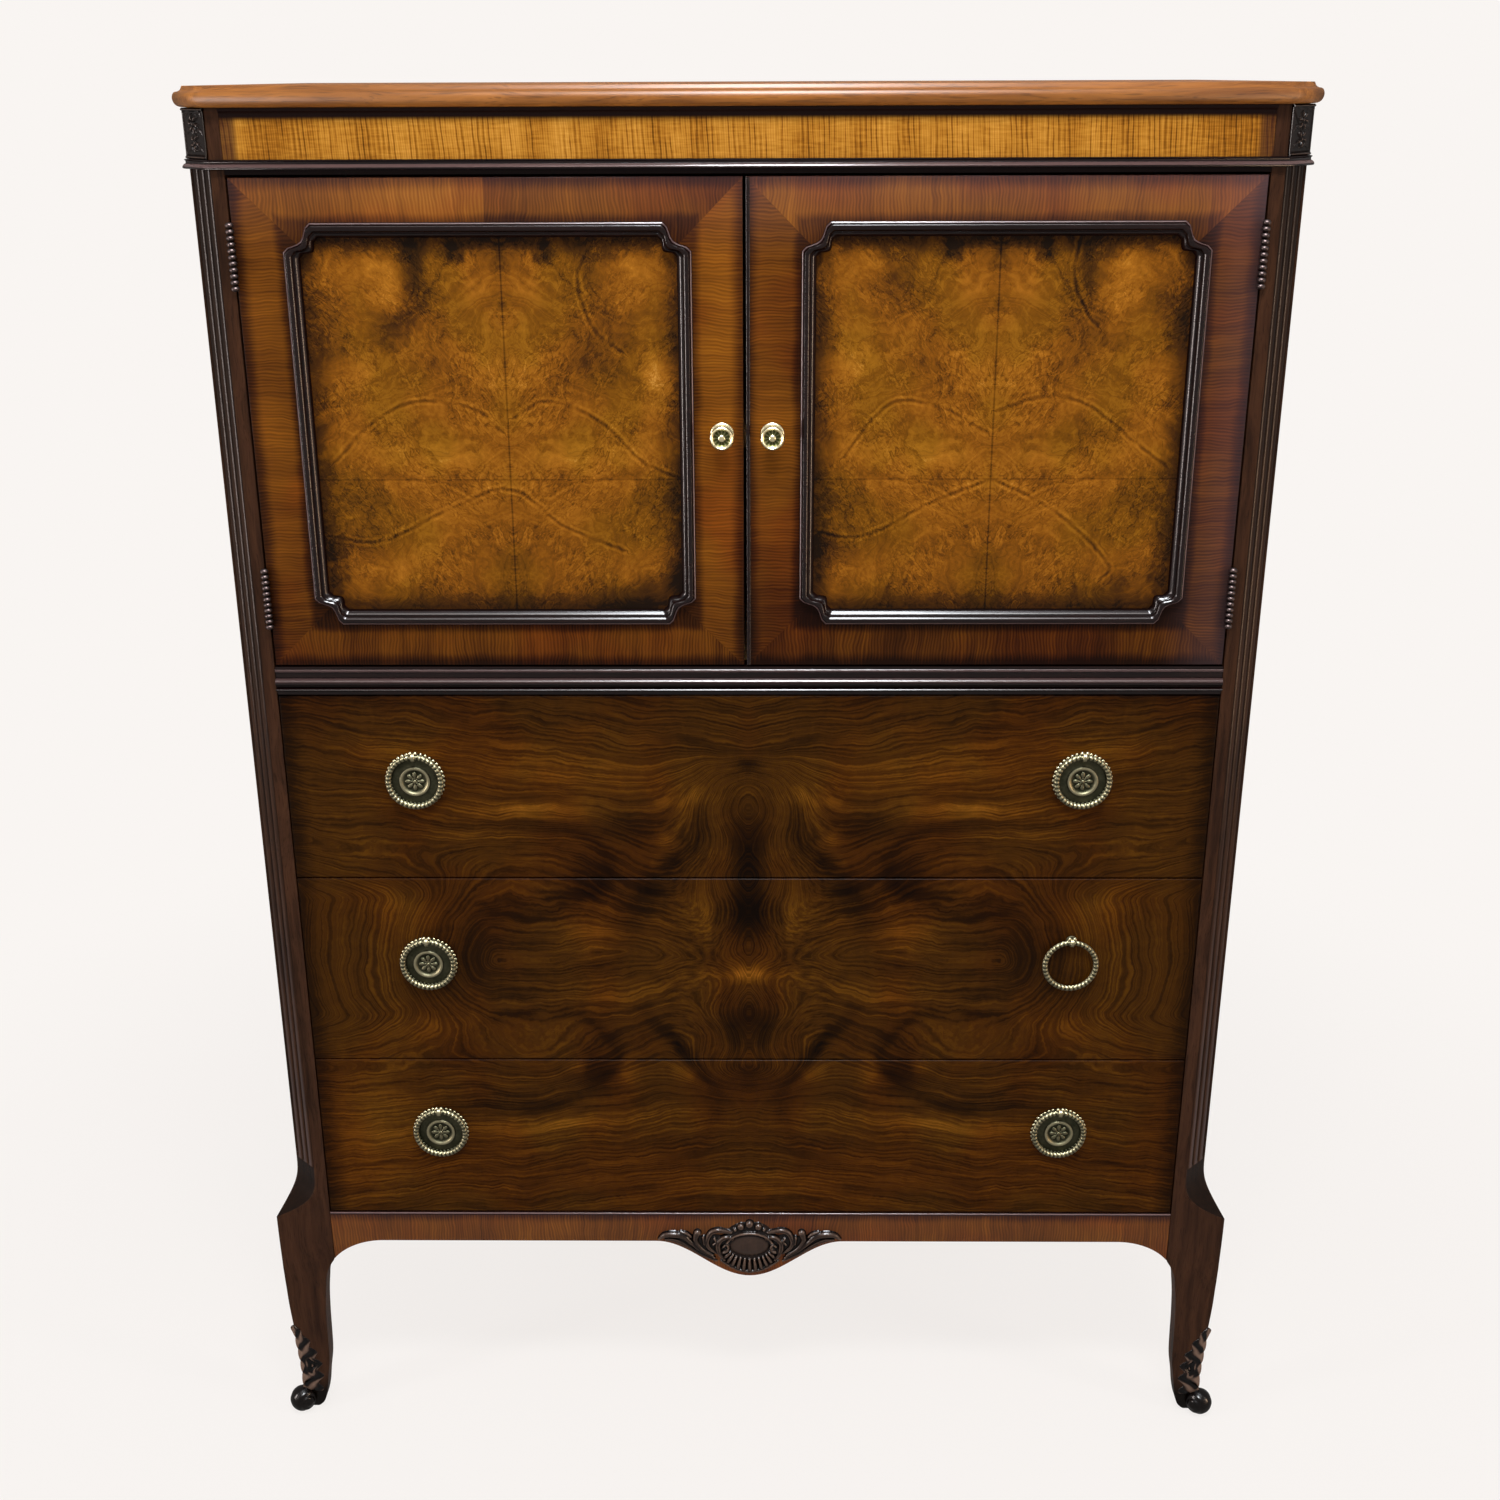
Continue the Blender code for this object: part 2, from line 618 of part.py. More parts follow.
def apron_carving():
    """The carved cartouche: a cut-out plate with an oval boss and a small crown."""
    half = [(x, CARVING_BASE + z) for x, z in shares(CARVING_SHARES, CARVING_HALF_WIDTH, CARVING_HEIGHT)]
    outline = half + mirrored(half[1:-1])
    front = -(FIT + CARVING_THICKNESS)
    piece = plate("apron_carving", [outline], front, CARVING_THICKNESS)
    rounds = (
        ("boss", BOSS_RISE, (BOSS_HALF_WIDTH, BOSS_PROJECTION, BOSS_HALF_HEIGHT)),
        ("crown", CROWN_RISE, (CROWN_RADIUS, BOSS_PROJECTION, CROWN_RADIUS / 2)),
    )
    for name, rise, half_sizes in rounds:
        bm = bmesh.new()
        bmesh.ops.create_uvsphere(bm, u_segments=BOSS_SEGMENTS, v_segments=BOSS_RINGS, radius=1)
        bmesh.ops.scale(bm, verts=bm.verts, vec=half_sizes)
        dome = linked("carving_" + name, as_mesh("carving_" + name, bm))
        dome.location = (0, front, CARVING_BASE + rise)
        combine(piece, dome, "UNION")
    carry(piece, case, "carved_walnut")


def side_panels():
    length = (REAR_POST - POST_WIDTH) / 2 - FIT
    middle = CASE_DEPTH / 2
    right = skirt_outline(length, spandrel_overlap() + FIT, CASE_TOP)
    outline = [(middle + y, z) for y, z in right + mirrored(right)]
    for side, hand in (("left", -1), ("right", 1)):
        start = PANEL_INNER if hand > 0 else -PANEL_INNER - PANEL_THICKNESS
        piece = plate("side_panel_" + side, [outline], start, PANEL_THICKNESS, "side")
        carry(piece, case, "side_walnut")


def back_panel():
    reach = POST_INNER - FIT
    piece = box("back_panel", (-reach, BACK_INNER, APRON_CLEARANCE), (reach, BACK_INNER + BACK_THICKNESS, CASE_TOP))
    carry(piece, case, "inner_wood")


def post_notches():
    """What the four posts take out of a board, a clearance wider: the front pair, then the rear pair."""
    notches = []
    spans = (("front", -CUT_OVER, POST_WIDTH + FIT), ("rear", REAR_POST - FIT, BACK_INNER + CUT_OVER))
    for place, start, end in spans:
        for side, hand in (("left", -1), ("right", 1)):
            sides = sorted((hand * (POST_INNER - FIT), hand * (BOARD_HALF + CUT_OVER)))
            notches.append(box(f"{place}_notch_{side}", (sides[0], start, 0), (sides[1], end, CASE_TOP)))
    return notches


def board(name, front, lower, thickness, notches):
    """An inner board, as wide as the space between the side panels."""
    piece = box(name, (-BOARD_HALF, front, lower), (BOARD_HALF, BACK_INNER - FIT, lower + thickness))
    for notch in notches:
        combine(piece, notch, "DIFFERENCE")
    return piece


def waist_board(notches):
    """The board under the cupboard, with the beaded waist rail as its front edge."""
    top = WAIST_TOP + FLOOR_STEP
    piece = board("waist_board", WAIST_RAIL_DEPTH / 2, top - FLOOR_THICKNESS, FLOOR_THICKNESS, notches)
    profile = shares(WAIST_SHARES, WAIST_PROJECTION, WAIST_HEIGHT)
    section = [(WAIST_RAIL_DEPTH, WAIST_BOTTOM), (0, WAIST_BOTTOM)]
    section += [(-out, WAIST_BOTTOM + up) for out, up in profile]
    section += [(0, WAIST_TOP), (WAIST_RAIL_DEPTH, WAIST_TOP)]
    reach = POST_INNER - FIT * 2
    rail = loft("waist_rail", [[(x, y, z) for y, z in section] for x in (-reach, reach)])
    carry(combine(piece, rail, "UNION"), case, "dark_moulding")


def inner_boards(notches):
    carry(board("shelf", SHELF_SETBACK, SHELF_HEIGHT, SHELF_THICKNESS, notches[2:]), case, "inner_wood")
    front = FRONT_THICKNESS + FIT
    for name, lower, thickness in (
        ("dust_board_upper", FRONT_BOTTOMS[2] - DRAWER_GAP / 2 - DUST_THICKNESS / 2, DUST_THICKNESS),
        ("dust_board_lower", FRONT_BOTTOMS[1] - DRAWER_GAP / 2 - DUST_THICKNESS / 2, DUST_THICKNESS),
        ("bottom_board", FRONT_BOTTOMS[0] - FIT * 2 - BOTTOM_THICKNESS, BOTTOM_THICKNESS),
    ):
        carry(board(name, front, lower, thickness, notches), case, "inner_wood")


# The hinges


def hinge_levels():
    """(name, height of the hinge's lower end)"""
    low = DOOR_BOTTOM + HINGE_INSET
    high = DOOR_TOP - HINGE_INSET - HINGE_LENGTH
    return (("lower", low), ("upper", high))


KNUCKLE_LENGTH = (HINGE_LENGTH - 2 * FINIAL_LENGTH) / KNUCKLES


def knuckle_profile(bottom, gap_below, gap_above):
    """The beads of one knuckle, from its upper end down."""
    low = bottom + gap_below
    height = KNUCKLE_LENGTH - gap_below - gap_above
    waist = KNUCKLE_RADIUS * KNUCKLE_WAIST_SHARE
    points = []
    for i in range(2 * BEADS_PER_KNUCKLE, -1, -1):
        points.append((KNUCKLE_RADIUS if i % 2 else waist, low + height * i / (2 * BEADS_PER_KNUCKLE)))
    return points


def leaf(name, hand, bottom, of_door, carrier):
    """One leaf: its plate lies in the gap beside the door, and its knuckles stand in front of it."""
    first = FINIAL_LENGTH
    middle = first + KNUCKLE_LENGTH
    last = middle + KNUCKLE_LENGTH
    half_gap = KNUCKLE_GAP / 2
    if of_door:
        outer = knuckle_profile(middle, half_gap, half_gap)
        barrel = bored(name, outer, PIN_RADIUS + PIN_CLEARANCE, HINGE_STEPS)
        necks = [(middle + KNUCKLE_GAP, middle + KNUCKLE_LENGTH - KNUCKLE_GAP)]
        neck_start = PIN_Y + PIN_RADIUS + PIN_CLEARANCE + FIT
        edge = DOOR_EDGE + LEAF_PROUD - LEAF_THICKNESS
    else:
        tip = [(r, HINGE_LENGTH - FINIAL_LENGTH + h) for r, h in shares(FINIAL_SHARES, KNUCKLE_RADIUS, FINIAL_LENGTH)]
        foot = [(r, FINIAL_LENGTH - h) for r, h in reversed(shares(FINIAL_SHARES, KNUCKLE_RADIUS, FINIAL_LENGTH))]
        upper = knuckle_profile(last, half_gap, 0)
        lower = knuckle_profile(first, 0, half_gap)
        pin = [(PIN_RADIUS, upper[-1][1]), (PIN_RADIUS, lower[0][1])]
        barrel = turned(name, tip + upper + pin + lower + foot, HINGE_STEPS)
        necks = [(first + FIT, middle - KNUCKLE_GAP), (last + KNUCKLE_GAP, HINGE_LENGTH - FINIAL_LENGTH - FIT)]
        neck_start = PIN_Y
        edge = POST_INNER - LEAF_PROUD
    barrel.location = (hand * PIN_X, PIN_Y, bottom)
    sides = sorted((hand * edge, hand * (edge + LEAF_THICKNESS)))
    flat = box(
        name + "_flat",
        (sides[0], 0, bottom + FINIAL_LENGTH),
        (sides[1], LEAF_DEPTH, bottom + HINGE_LENGTH - FINIAL_LENGTH),
    )
    combine(barrel, flat, "UNION")
    for i, (low, high) in enumerate(necks):
        neck = box(
            f"{name}_neck_{i + 1}",
            (sides[0] + MERGE * 10, neck_start, bottom + low),
            (sides[1] - MERGE * 10, CUT_OVER, bottom + high),
        )
        combine(barrel, neck, "UNION")
    return carry(barrel, carrier, "hinge_bronze")


def mortise(piece, hand, bottom, of_door):
    """The pocket that a leaf is let into, open at the front and on the gap's side."""
    if of_door:
        sides = sorted((hand * (DOOR_EDGE + LEAF_PROUD - LEAF_THICKNESS - FIT), hand * (DOOR_EDGE + CUT_OVER)))
    else:
        sides = sorted((hand * (POST_INNER - CUT_OVER), hand * (POST_INNER - LEAF_PROUD + LEAF_THICKNESS + FIT)))
    pocket = box(
        f"{piece.name}_mortise_{round(bottom * 1000)}",
        (sides[0], -CUT_OVER, bottom + FINIAL_LENGTH - FIT),
        (sides[1], LEAF_DEPTH + FIT, bottom + HINGE_LENGTH - FINIAL_LENGTH + FIT),
    )
    combine(piece, pocket, "DIFFERENCE")


# The doors


def notched_outline(near, far, low, high, inset):
    """The moulding's outline with its re-entrant corners, moved in by the inset, as (x, z)."""
    slope = math.tan(math.pi / 8)
    middle_x, middle_z = (near + far) / 2, (low + high) / 2
    half_x, half_z = abs(far - near) / 2 - inset, (high - low) / 2 - inset
    reach = NOTCH - inset * (1 - slope)
    half_way = (NOTCH + NOTCH_STEP) / 2 + NOTCH_HOLLOW - inset * (1 - math.sqrt(2) / 2)
    step = NOTCH_STEP
    corner = [(0, reach), (step, reach - step), (half_way, half_way), (reach - step, step), (reach, 0)]
    quarter = [(half_x - across, half_z - down) for across, down in corner]
    top = quarter[::-1]
    ring = [(x, z) for x, z in top]
    ring = mirrored(ring)[::1] + ring
    lower = [(x, -z) for x, z in reversed(ring)]
    return [(middle_x + x, middle_z + z) for x, z in ring + lower]


def door(side, hand):
    """A door's frame, panel, moulding, knob and leaves, hung on the pin's line."""
    carrier = holder("door_" + side, (hand * PIN_X, PIN_Y, DOOR_BOTTOM), case)
    meeting = -MEETING_OFFSET + hand * MEETING_GAP / 2
    free_edge = meeting + (MEETING_BEAD_PROUD if hand > 0 else 0)
    hung_edge = hand * DOOR_EDGE
    near = hand * MEETING_STILE
    far = hand * (DOOR_EDGE - HUNG_STILE)
    high = DOOR_TOP - UPPER_RAIL
    low = DOOR_BOTTOM + LOWER_RAIL
    on_frame = MOULDING_WIDTH * MOULDING_ON_FRAME_SHARE

    edge = [(free_edge, DOOR_BOTTOM), (hung_edge, DOOR_BOTTOM), (hung_edge, DOOR_TOP), (free_edge, DOOR_TOP)]
    opening = notched_outline(near, far, low, high, on_frame)
    frame = plate(f"door_frame_{side}", [edge, opening], 0, DOOR_THICKNESS)
    if hand > 0:
        bead = box(
            "meeting_bead",
            (meeting, -MEETING_BEAD_PROJECTION, DOOR_BOTTOM + FIT),
            (meeting + MEETING_BEAD_WIDTH, MEETING_BEAD_DEPTH, DOOR_TOP - FIT),
        )
        combine(frame, bead, "UNION")
    for level, bottom in hinge_levels():
        mortise(frame, hand, bottom, True)
        leaf(f"door_leaf_{side}_{level}", hand, bottom, True, carrier)
    carry(frame, carrier, "door_crossband")

    fitted = notched_outline(near, far, low, high, on_frame + FIT)
    panel = plate(f"door_panel_{side}", [fitted], PANEL_SINK, DOOR_PANEL_THICKNESS)
    carry(panel, carrier, "burl_walnut")

    inner = PANEL_SINK - FIT
    profile = [(on_frame + FIT, inner), (on_frame + FIT, -FIT)]
    profile += [(across, -FIT - out) for across, out in shares(MOULDING_SHARES, MOULDING_WIDTH, MOULDING_PROJECTION)]
    profile.append((MOULDING_WIDTH, inner))
    lines = []
    for inset, y in profile:
        lines.append([(x, y, z) for x, z in notched_outline(near, far, low, high, inset)])
    rings = list(zip(*lines))
    moulding = loft(f"door_moulding_{side}", rings, closed=True)
    carry(smooth(moulding), carrier, "dark_moulding")

    knob = turned(f"knob_{side}", shares(KNOB_SHARES, KNOB_RADIUS, KNOB_PROJECTION), TURNED_STEPS)
    facing_front(knob, (hand * KNOB_FROM_CENTRE, -FIT, DOOR_BOTTOM + KNOB_RISE))
    carry(smooth(knob), carrier, "polished_brass")


# The drawers


def eye(name):
    """A short tube across, that the ring hangs in."""
    bore = RING_WIRE + EYE_CLEARANCE
    half = EYE_LENGTH / 2
    tube = bored(name, [(bore + EYE_WALL, half), (bore + EYE_WALL, -half)], bore, EYE_SIDES)
    tube.rotation_euler = (0, math.pi / 2, 0)
    return tube


def pull(number, side, hand, carrier):
    """A round plate with its eye, and the ring that hangs in the eye."""
    x = hand * (FRONT_HALF - PULL_FROM_END)
    z = FRONT_BOTTOMS[number] + DRAWER_FRONT_HEIGHTS[number] / 2 + PULL_RISES[number]
    axis_z = z + RING_RADIUS
    label = f"drawer_{number + 1}_{side}"
    lost = (number, (hand + 1) // 2) == LOST_PLATE
    if lost:
        profile = [(0, WASHER_THICKNESS), (WASHER_RADIUS, WASHER_THICKNESS), (WASHER_RADIUS, 0), (0, 0)]
        base = turned("pull_post_" + label, profile, EYE_SIDES * 2)
        facing_front(base, (x, -FIT, axis_z))
    else:
        raised = shares(RAISED_SHARES, RAISED_RADIUS, PLATE_RAISED)
        rim = PLATE_THICKNESS * RIM_SHARE
        profile = raised[::-1] + [(RAISED_RADIUS, PLATE_THICKNESS), (PLATE_RADIUS - rim, PLATE_THICKNESS)]
        profile += [(PLATE_RADIUS, rim), (PLATE_RADIUS, 0), (0, 0)]
        base = turned("pull_plate_" + label, profile, TURNED_STEPS)
        facing_front(base, (x, -FIT, z))
    tube = eye("eye_" + label)
    tube.location = (x, RING_Y, axis_z)
    combine(base, tube, "UNION")
    carry(smooth(base), carrier, "aged_brass")

    hung = holder("ring_axis_" + label, Vector((x, RING_Y, axis_z)) - carrier.location, carrier)
    bpy.ops.mesh.primitive_torus_add(
        major_radius=RING_RADIUS, minor_radius=RING_WIRE, major_segments=RING_SEGMENTS, minor_segments=RING_SIDES
    )
    ring = bpy.context.object
    for group in list(ring.users_collection):
        group.objects.unlink(ring)
    pieces.objects.link(ring)
    ring.name = "ring_" + label
    ring.parent = hung
    facing_front(ring, (0, 0, -RING_RADIUS))
    ring.data.materials.append(finish("aged_brass"))
    smooth(ring)


def drawer(number):
    """A drawer on its own empty: front, sides, back, bottom and two pulls."""
    low = FRONT_BOTTOMS[number]
    high = low + DRAWER_FRONT_HEIGHTS[number]
    label = f"drawer_{number + 1}_"
    carrier = holder(label + "slide", (0, 0, low), case)
    box_half = POST_INNER - BOX_CLEARANCE
    inner = box_half - SIDE_THICKNESS
    start = FRONT_THICKNESS + FIT
    end = BACK_INNER - BOX_BACK_GAP
    runner = low - FIT * 2 if number == 0 else low - DRAWER_GAP / 2 + DUST_THICKNESS / 2
    side_low = runner + FIT
    side_high = high - SIDE_TOP_DROP
    bottom_low = side_low + BOTTOM_RISE
    bottom_high = bottom_low + DRAWER_BOTTOM_THICKNESS
    front = box(label + "front", (-FRONT_HALF, 0, low), (FRONT_HALF, FRONT_THICKNESS, high))
    carry(front, carrier, "crotch_walnut")
    for side, hand in (("left", -1), ("right", 1)):
        sides = sorted((hand * inner, hand * box_half))
        carry(
            box(f"{label}side_{side}", (sides[0], start, side_low), (sides[1], end, side_high)),
            carrier,
            "inner_wood",
        )
        pull(number, side, hand, carrier)
    fit = inner - FIT
    back = box(label + "back", (-fit, end - SIDE_THICKNESS, bottom_high + FIT), (fit, end, side_high))
    carry(back, carrier, "inner_wood")
    bottom = box(label + "bottom", (-fit, start, bottom_low), (fit, end, bottom_high))
    carry(bottom, carrier, "inner_wood")


def build_case():
    top_board()
    frieze_rail()
    frieze_moulding()
    for side, hand in (("left", -1), ("right", 1)):
        post = leg("front_leg_" + side, hand, True)
        leg("rear_leg_" + side, hand, False)
        for level, bottom in hinge_levels():
            mortise(post, hand, bottom, False)
            leaf(f"post_leaf_{side}_{level}", hand, bottom, False, case)
    side_panels()
    back_panel()
    notches = post_notches()
    waist_board(notches)
    inner_boards(notches)
    apron()
    apron_carving()


for thing in list(bpy.data.objects):
    bpy.data.objects.remove(thing)
pieces = collection("gentlemans_chest")
cutters = collection("cutters")
cutters.hide_render = True
case = holder("case")
build_case()
door("left", -1)
door("right", 1)
for drawer_number in range(len(DRAWER_FRONT_HEIGHTS)):
    drawer(drawer_number)
bpy.context.view_layer.update()
print(f"{CASE_WIDTH:.3f} wide, {CASE_DEPTH:.3f} deep, {HEIGHT:.3f} high")
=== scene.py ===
# Dresser: a walnut gentleman's chest, two burl doors over three crotch-veneered drawers.
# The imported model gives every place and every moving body. This script gives the looks.
import math

import bmesh
import bpy
import numpy as np
from mathutils import Matrix, Vector, noise
from mathutils.geometry import tessellate_polygon

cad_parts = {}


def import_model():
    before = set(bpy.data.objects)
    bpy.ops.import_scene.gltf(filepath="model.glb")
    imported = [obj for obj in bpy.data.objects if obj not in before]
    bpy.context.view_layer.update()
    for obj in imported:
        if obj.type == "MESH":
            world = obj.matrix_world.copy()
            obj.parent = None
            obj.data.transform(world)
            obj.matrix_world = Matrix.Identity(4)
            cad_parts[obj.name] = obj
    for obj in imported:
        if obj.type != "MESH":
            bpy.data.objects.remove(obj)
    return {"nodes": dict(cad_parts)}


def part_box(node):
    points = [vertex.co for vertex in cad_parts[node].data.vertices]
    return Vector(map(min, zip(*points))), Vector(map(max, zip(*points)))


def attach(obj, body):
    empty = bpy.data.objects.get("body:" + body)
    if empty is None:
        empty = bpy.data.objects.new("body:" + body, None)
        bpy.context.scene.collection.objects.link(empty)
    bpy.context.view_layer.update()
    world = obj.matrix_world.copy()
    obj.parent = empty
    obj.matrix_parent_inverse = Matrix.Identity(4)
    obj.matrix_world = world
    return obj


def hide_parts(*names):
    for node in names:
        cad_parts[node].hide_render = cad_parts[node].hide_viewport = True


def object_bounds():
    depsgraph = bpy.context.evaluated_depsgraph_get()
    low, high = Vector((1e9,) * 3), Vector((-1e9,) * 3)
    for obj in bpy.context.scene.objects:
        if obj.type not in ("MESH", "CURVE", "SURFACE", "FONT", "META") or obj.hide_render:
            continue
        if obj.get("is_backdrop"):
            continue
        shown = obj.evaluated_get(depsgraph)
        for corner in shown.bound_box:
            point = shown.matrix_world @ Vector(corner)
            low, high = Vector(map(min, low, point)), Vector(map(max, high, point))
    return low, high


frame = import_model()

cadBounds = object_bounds()
nodes = frame["nodes"]
scene = bpy.context.scene
noise.seed_set(11)  # so that the veneers wander the same way in every run

# Shared sizes, in metres, as the part's source has them
chest = {
    "half": 0.461,
    "depth": 0.455,
    "front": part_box("door_frame_left")[0].y,  # the case's front face
    "post": 0.0348,
    "cant": 0.0235,
    "caseTop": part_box("frieze_rail")[1].z,
    "fit": 0.0003,
}
postInner = chest["half"] - chest["post"]
front = chest["front"]
back = front + chest["depth"]
sides = (("left", -1), ("right", 1))
drawers = ((1, "drawer_bottom"), (2, "drawer_middle"), (3, "drawer_top"))
finishes = {}
# sine and cosine over half a turn, for beads
halfTurn = [(math.sin(math.pi * k / 8), math.cos(math.pi * k / 8)) for k in range(9)]


# Small helpers for meshes

# A colour as a screen shows it, for a shader's socket.
def tone(red, green, blue):
    shares = (red / 255, green / 255, blue / 255)
    return tuple(((one + 0.055) / 1.055) ** 2.4 if one > 0.04 else one / 12.92 for one in shares) + (1,)


def linkMesh(name, bm, finish, smoothAngle):
    mesh = bpy.data.meshes.new(name)
    bm.to_mesh(mesh)
    bm.free()
    mesh.materials.append(finish)
    mesh.shade_smooth()
    mesh.set_sharp_from_angle(angle=math.radians(smoothAngle))
    piece = bpy.data.objects.new(name, mesh)
    scene.collection.objects.link(piece)
    return piece


def makePiece(name, bm, finish, smoothAngle=35):
    bmesh.ops.remove_doubles(bm, verts=bm.verts, dist=0.000001)
    bmesh.ops.recalc_face_normals(bm, faces=bm.faces)
    return linkMesh(name, bm, finish, smoothAngle)


# The shade attribute: on the woods, above 0 a painted highlight on a crest, below 0 painted shade in a
# hollow; on the metals, how rubbed the brass is
def shadeVerts(bm, values):
    layer = bm.verts.layers.float.new("shade")
    for vert, value in zip(bm.verts, values):
        vert[layer] = value
    return bm


def settle(piece, body, slot, *replaced):
    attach(piece, body)
    if replaced:
        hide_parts(*replaced)
    return piece


# Makes a piece and settles it, in the finish that its slot is named after unless told otherwise.
def dress(name, bm, body, slot, *replaced, finish=None, smoothAngle=35):
    return settle(makePiece(name, bm, finishes[finish or slot], smoothAngle), body, slot, *replaced)


# Turns the piece's modifiers into a plain mesh.
def plainMesh(piece):
    mesh = bpy.data.meshes.new_from_object(piece.evaluated_get(bpy.context.evaluated_depsgraph_get()))
    piece.modifiers.clear()
    piece.data = mesh
    return piece


def softenEdges(piece, width, angle=32):
    bevel = piece.modifiers.new("soften", "BEVEL")
    bevel.width = width
    bevel.segments = 2
    bevel.limit_method = "ANGLE"
    bevel.angle_limit = math.radians(angle)
    plainMesh(piece)
    piece.data.shade_smooth()
    piece.data.set_sharp_from_angle(angle=math.radians(angle))
    return piece


# A CAD node's mesh as a copy, merged.
def nodeMesh(name):
    bm = bmesh.new()
    bm.from_mesh(nodes[name].data)
    bmesh.ops.remove_doubles(bm, verts=bm.verts, dist=0.00001)
    return bm


# The boards of plain wood are their CAD nodes with softened edges.
def dressBoard(name, body):
    bm = nodeMesh(name)
    bmesh.ops.dissolve_limit(bm, angle_limit=math.radians(1), verts=bm.verts, edges=bm.edges)
    board = softenEdges(makePiece(name + "_fine", bm, finishes["inner_wood"]), 0.0008)
    settle(board, body, "inner_wood", name)


def loft(rings, closed=False, capped=True):
    bm = bmesh.new()
    rows = [[bm.verts.new(point) for point in ring] for ring in rings]
    count = len(rings[0])
    for row, following in zip(rows, rows[1:] + (rows[:1] if closed else [])):
        for j in range(count):
            k = (j + 1) % count
            bm.faces.new((row[j], row[k], following[k], following[j]))
    if not closed and capped:
        bm.faces.new(rows[0])
        bm.faces.new(rows[-1])
    return bm


# A shape turned about the line that faces the front, from (radius, forward) pairs.
def turnedMesh(profile, steps, centre):
    rings = []
    for radius, out in profile:
        ring = []
        for i in range(steps):
            angle = 2 * math.pi * i / steps
            across, up = radius * math.cos(angle), radius * math.sin(angle)
            ring.append((centre[0] + across, centre[1] - out, centre[2] + up))
        rings.append(ring)
    return loft(rings, capped=False)


# A section in (back, up) drawn along the front, from one side to the other.
def railMesh(section, reach):
    return loft([[(x, front + y, z) for y, z in section] for x in (-reach, reach)])


def rectangle(left, right, low, high):
    return [(left, low), (right, low), (right, high), (left, high)]


# A line of points, and then its mirror image from the end back.
def bothHalves(line):
    return line + [(-a, b) for a, b in reversed(line)]


# Points along a smooth curve through the given ones, each a tuple of any length.
def smoothLine(points, pieces):
    given = [np.array(p, float) for p in points]
    given = [2 * given[0] - given[1]] + given + [2 * given[-1] - given[-2]]
    line = []
    for a, b, c, d in zip(given, given[1:], given[2:], given[3:]):
        for i in range(pieces):
            t = i / pieces
            square, cube = 2 * a - 5 * b + 4 * c - d, 3 * b - a - 3 * c + d
            line.append(0.5 * (2 * b + (c - a) * t + square * t**2 + cube * t**3))
    line.append(given[-2])
    return line


# A closed outline, counter-clockwise, moved outwards by the amount.
def offsetLoop(points, amount):
    moved = []
    count = len(points)
    for i in range(count):
        before, here, after = (Vector(points[(i + k) % count][:2]) for k in (-1, 0, 1))
        first, second = (here - before).normalized(), (after - here).normalized()
        normal = Vector((first.y + second.y, -first.x - second.x))
        if normal.length < 0.000001:
            normal = Vector((first.y, -first.x))
        normal.normalize()
        reach = amount / max(normal.dot(Vector((first.y, -first.x))), 0.3)
        moved.append((here.x + normal.x * reach, here.y + normal.y * reach))
    return moved


# From a flat outline's (along, up) and a depth to a place.
def facing(kind, start):
    return {
        "front": lambda a, b, d: (a, start + d, b),
        "right": lambda a, b, d: (start - d, a, b),
        "left": lambda a, b, d: (start + d, a, b),
    }[kind]


# A board cut to an outline, with holes, a softened front edge, and a face of small squares if asked for.
def plateMesh(outlines, thickness, kind, start, cell=0, edge=0.0005, edgeSteps=2):
    place = facing(kind, start)
    loops = [offsetLoop(line, -edge) for line in outlines]
    bm = bmesh.new()
    flat = [Vector((a, b, 0)) for line in loops for a, b in line]
    verts = [bm.verts.new(p) for p in flat]
    for triangle in tessellate_polygon([[Vector((a, b, 0)) for a, b in line] for line in loops]):
        bm.faces.new([verts[i] for i in triangle])
    bmesh.ops.dissolve_limit(bm, angle_limit=0.01, verts=bm.verts, edges=bm.edges)
    if cell:
        for axis in (0, 1):
            low, high = min(p[axis] for p in flat), max(p[axis] for p in flat)
            steps = max(int((high - low) / cell), 1)
            for i in range(1, steps):
                at, normal = [0, 0, 0], [0, 0, 0]
                at[axis], normal[axis] = low + (high - low) * i / steps, 1
                everything = bm.verts[:] + bm.edges[:] + bm.faces[:]
                bmesh.ops.bisect_plane(bm, geom=everything, plane_co=at, plane_no=normal, dist=0.00001)
    following = {}
    for face in bm.faces:
        if face.normal.z < 0:
            face.normal_flip()
    for one in bm.edges:
        if len(one.link_faces) == 1:
            loop = one.link_loops[0]
            following[loop.vert] = loop.link_loop_next.vert
    rims = []
    while following:
        first = next(iter(following))
        rim, here = [first], following.pop(first)
        while here is not first:
            rim.append(here)
            here = following.pop(here)
        rims.append(rim)
    rows = []
    for i in range(1, edgeSteps + 1):
        angle = math.pi / 2 * i / edgeSteps
        rows.append((edge * math.sin(angle), edge * (1 - math.cos(angle))))
    rows.append((edge, thickness))
    backs = []
    for rim in rims:
        base = [(v.co.x, v.co.y) for v in rim]
        last = rim
        for out, down in rows:
            ring = [bm.verts.new((a, b, -down)) for a, b in offsetLoop(base, out)]
            for j in range(len(ring)):
                k = (j + 1) % len(ring)
                bm.faces.new((last[k], last[j], ring[j], ring[k]))
            last = ring
        backs.append(last)
    behind = [v for ring in backs for v in ring]
    for triangle in tessellate_polygon([[Vector((v.co.x, v.co.y, 0)) for v in ring] for ring in backs]):
        bm.faces.new([behind[i] for i in triangle])
    for v in bm.verts:
        v.co = place(v.co.x, v.co.y, -v.co.z)
    return bm


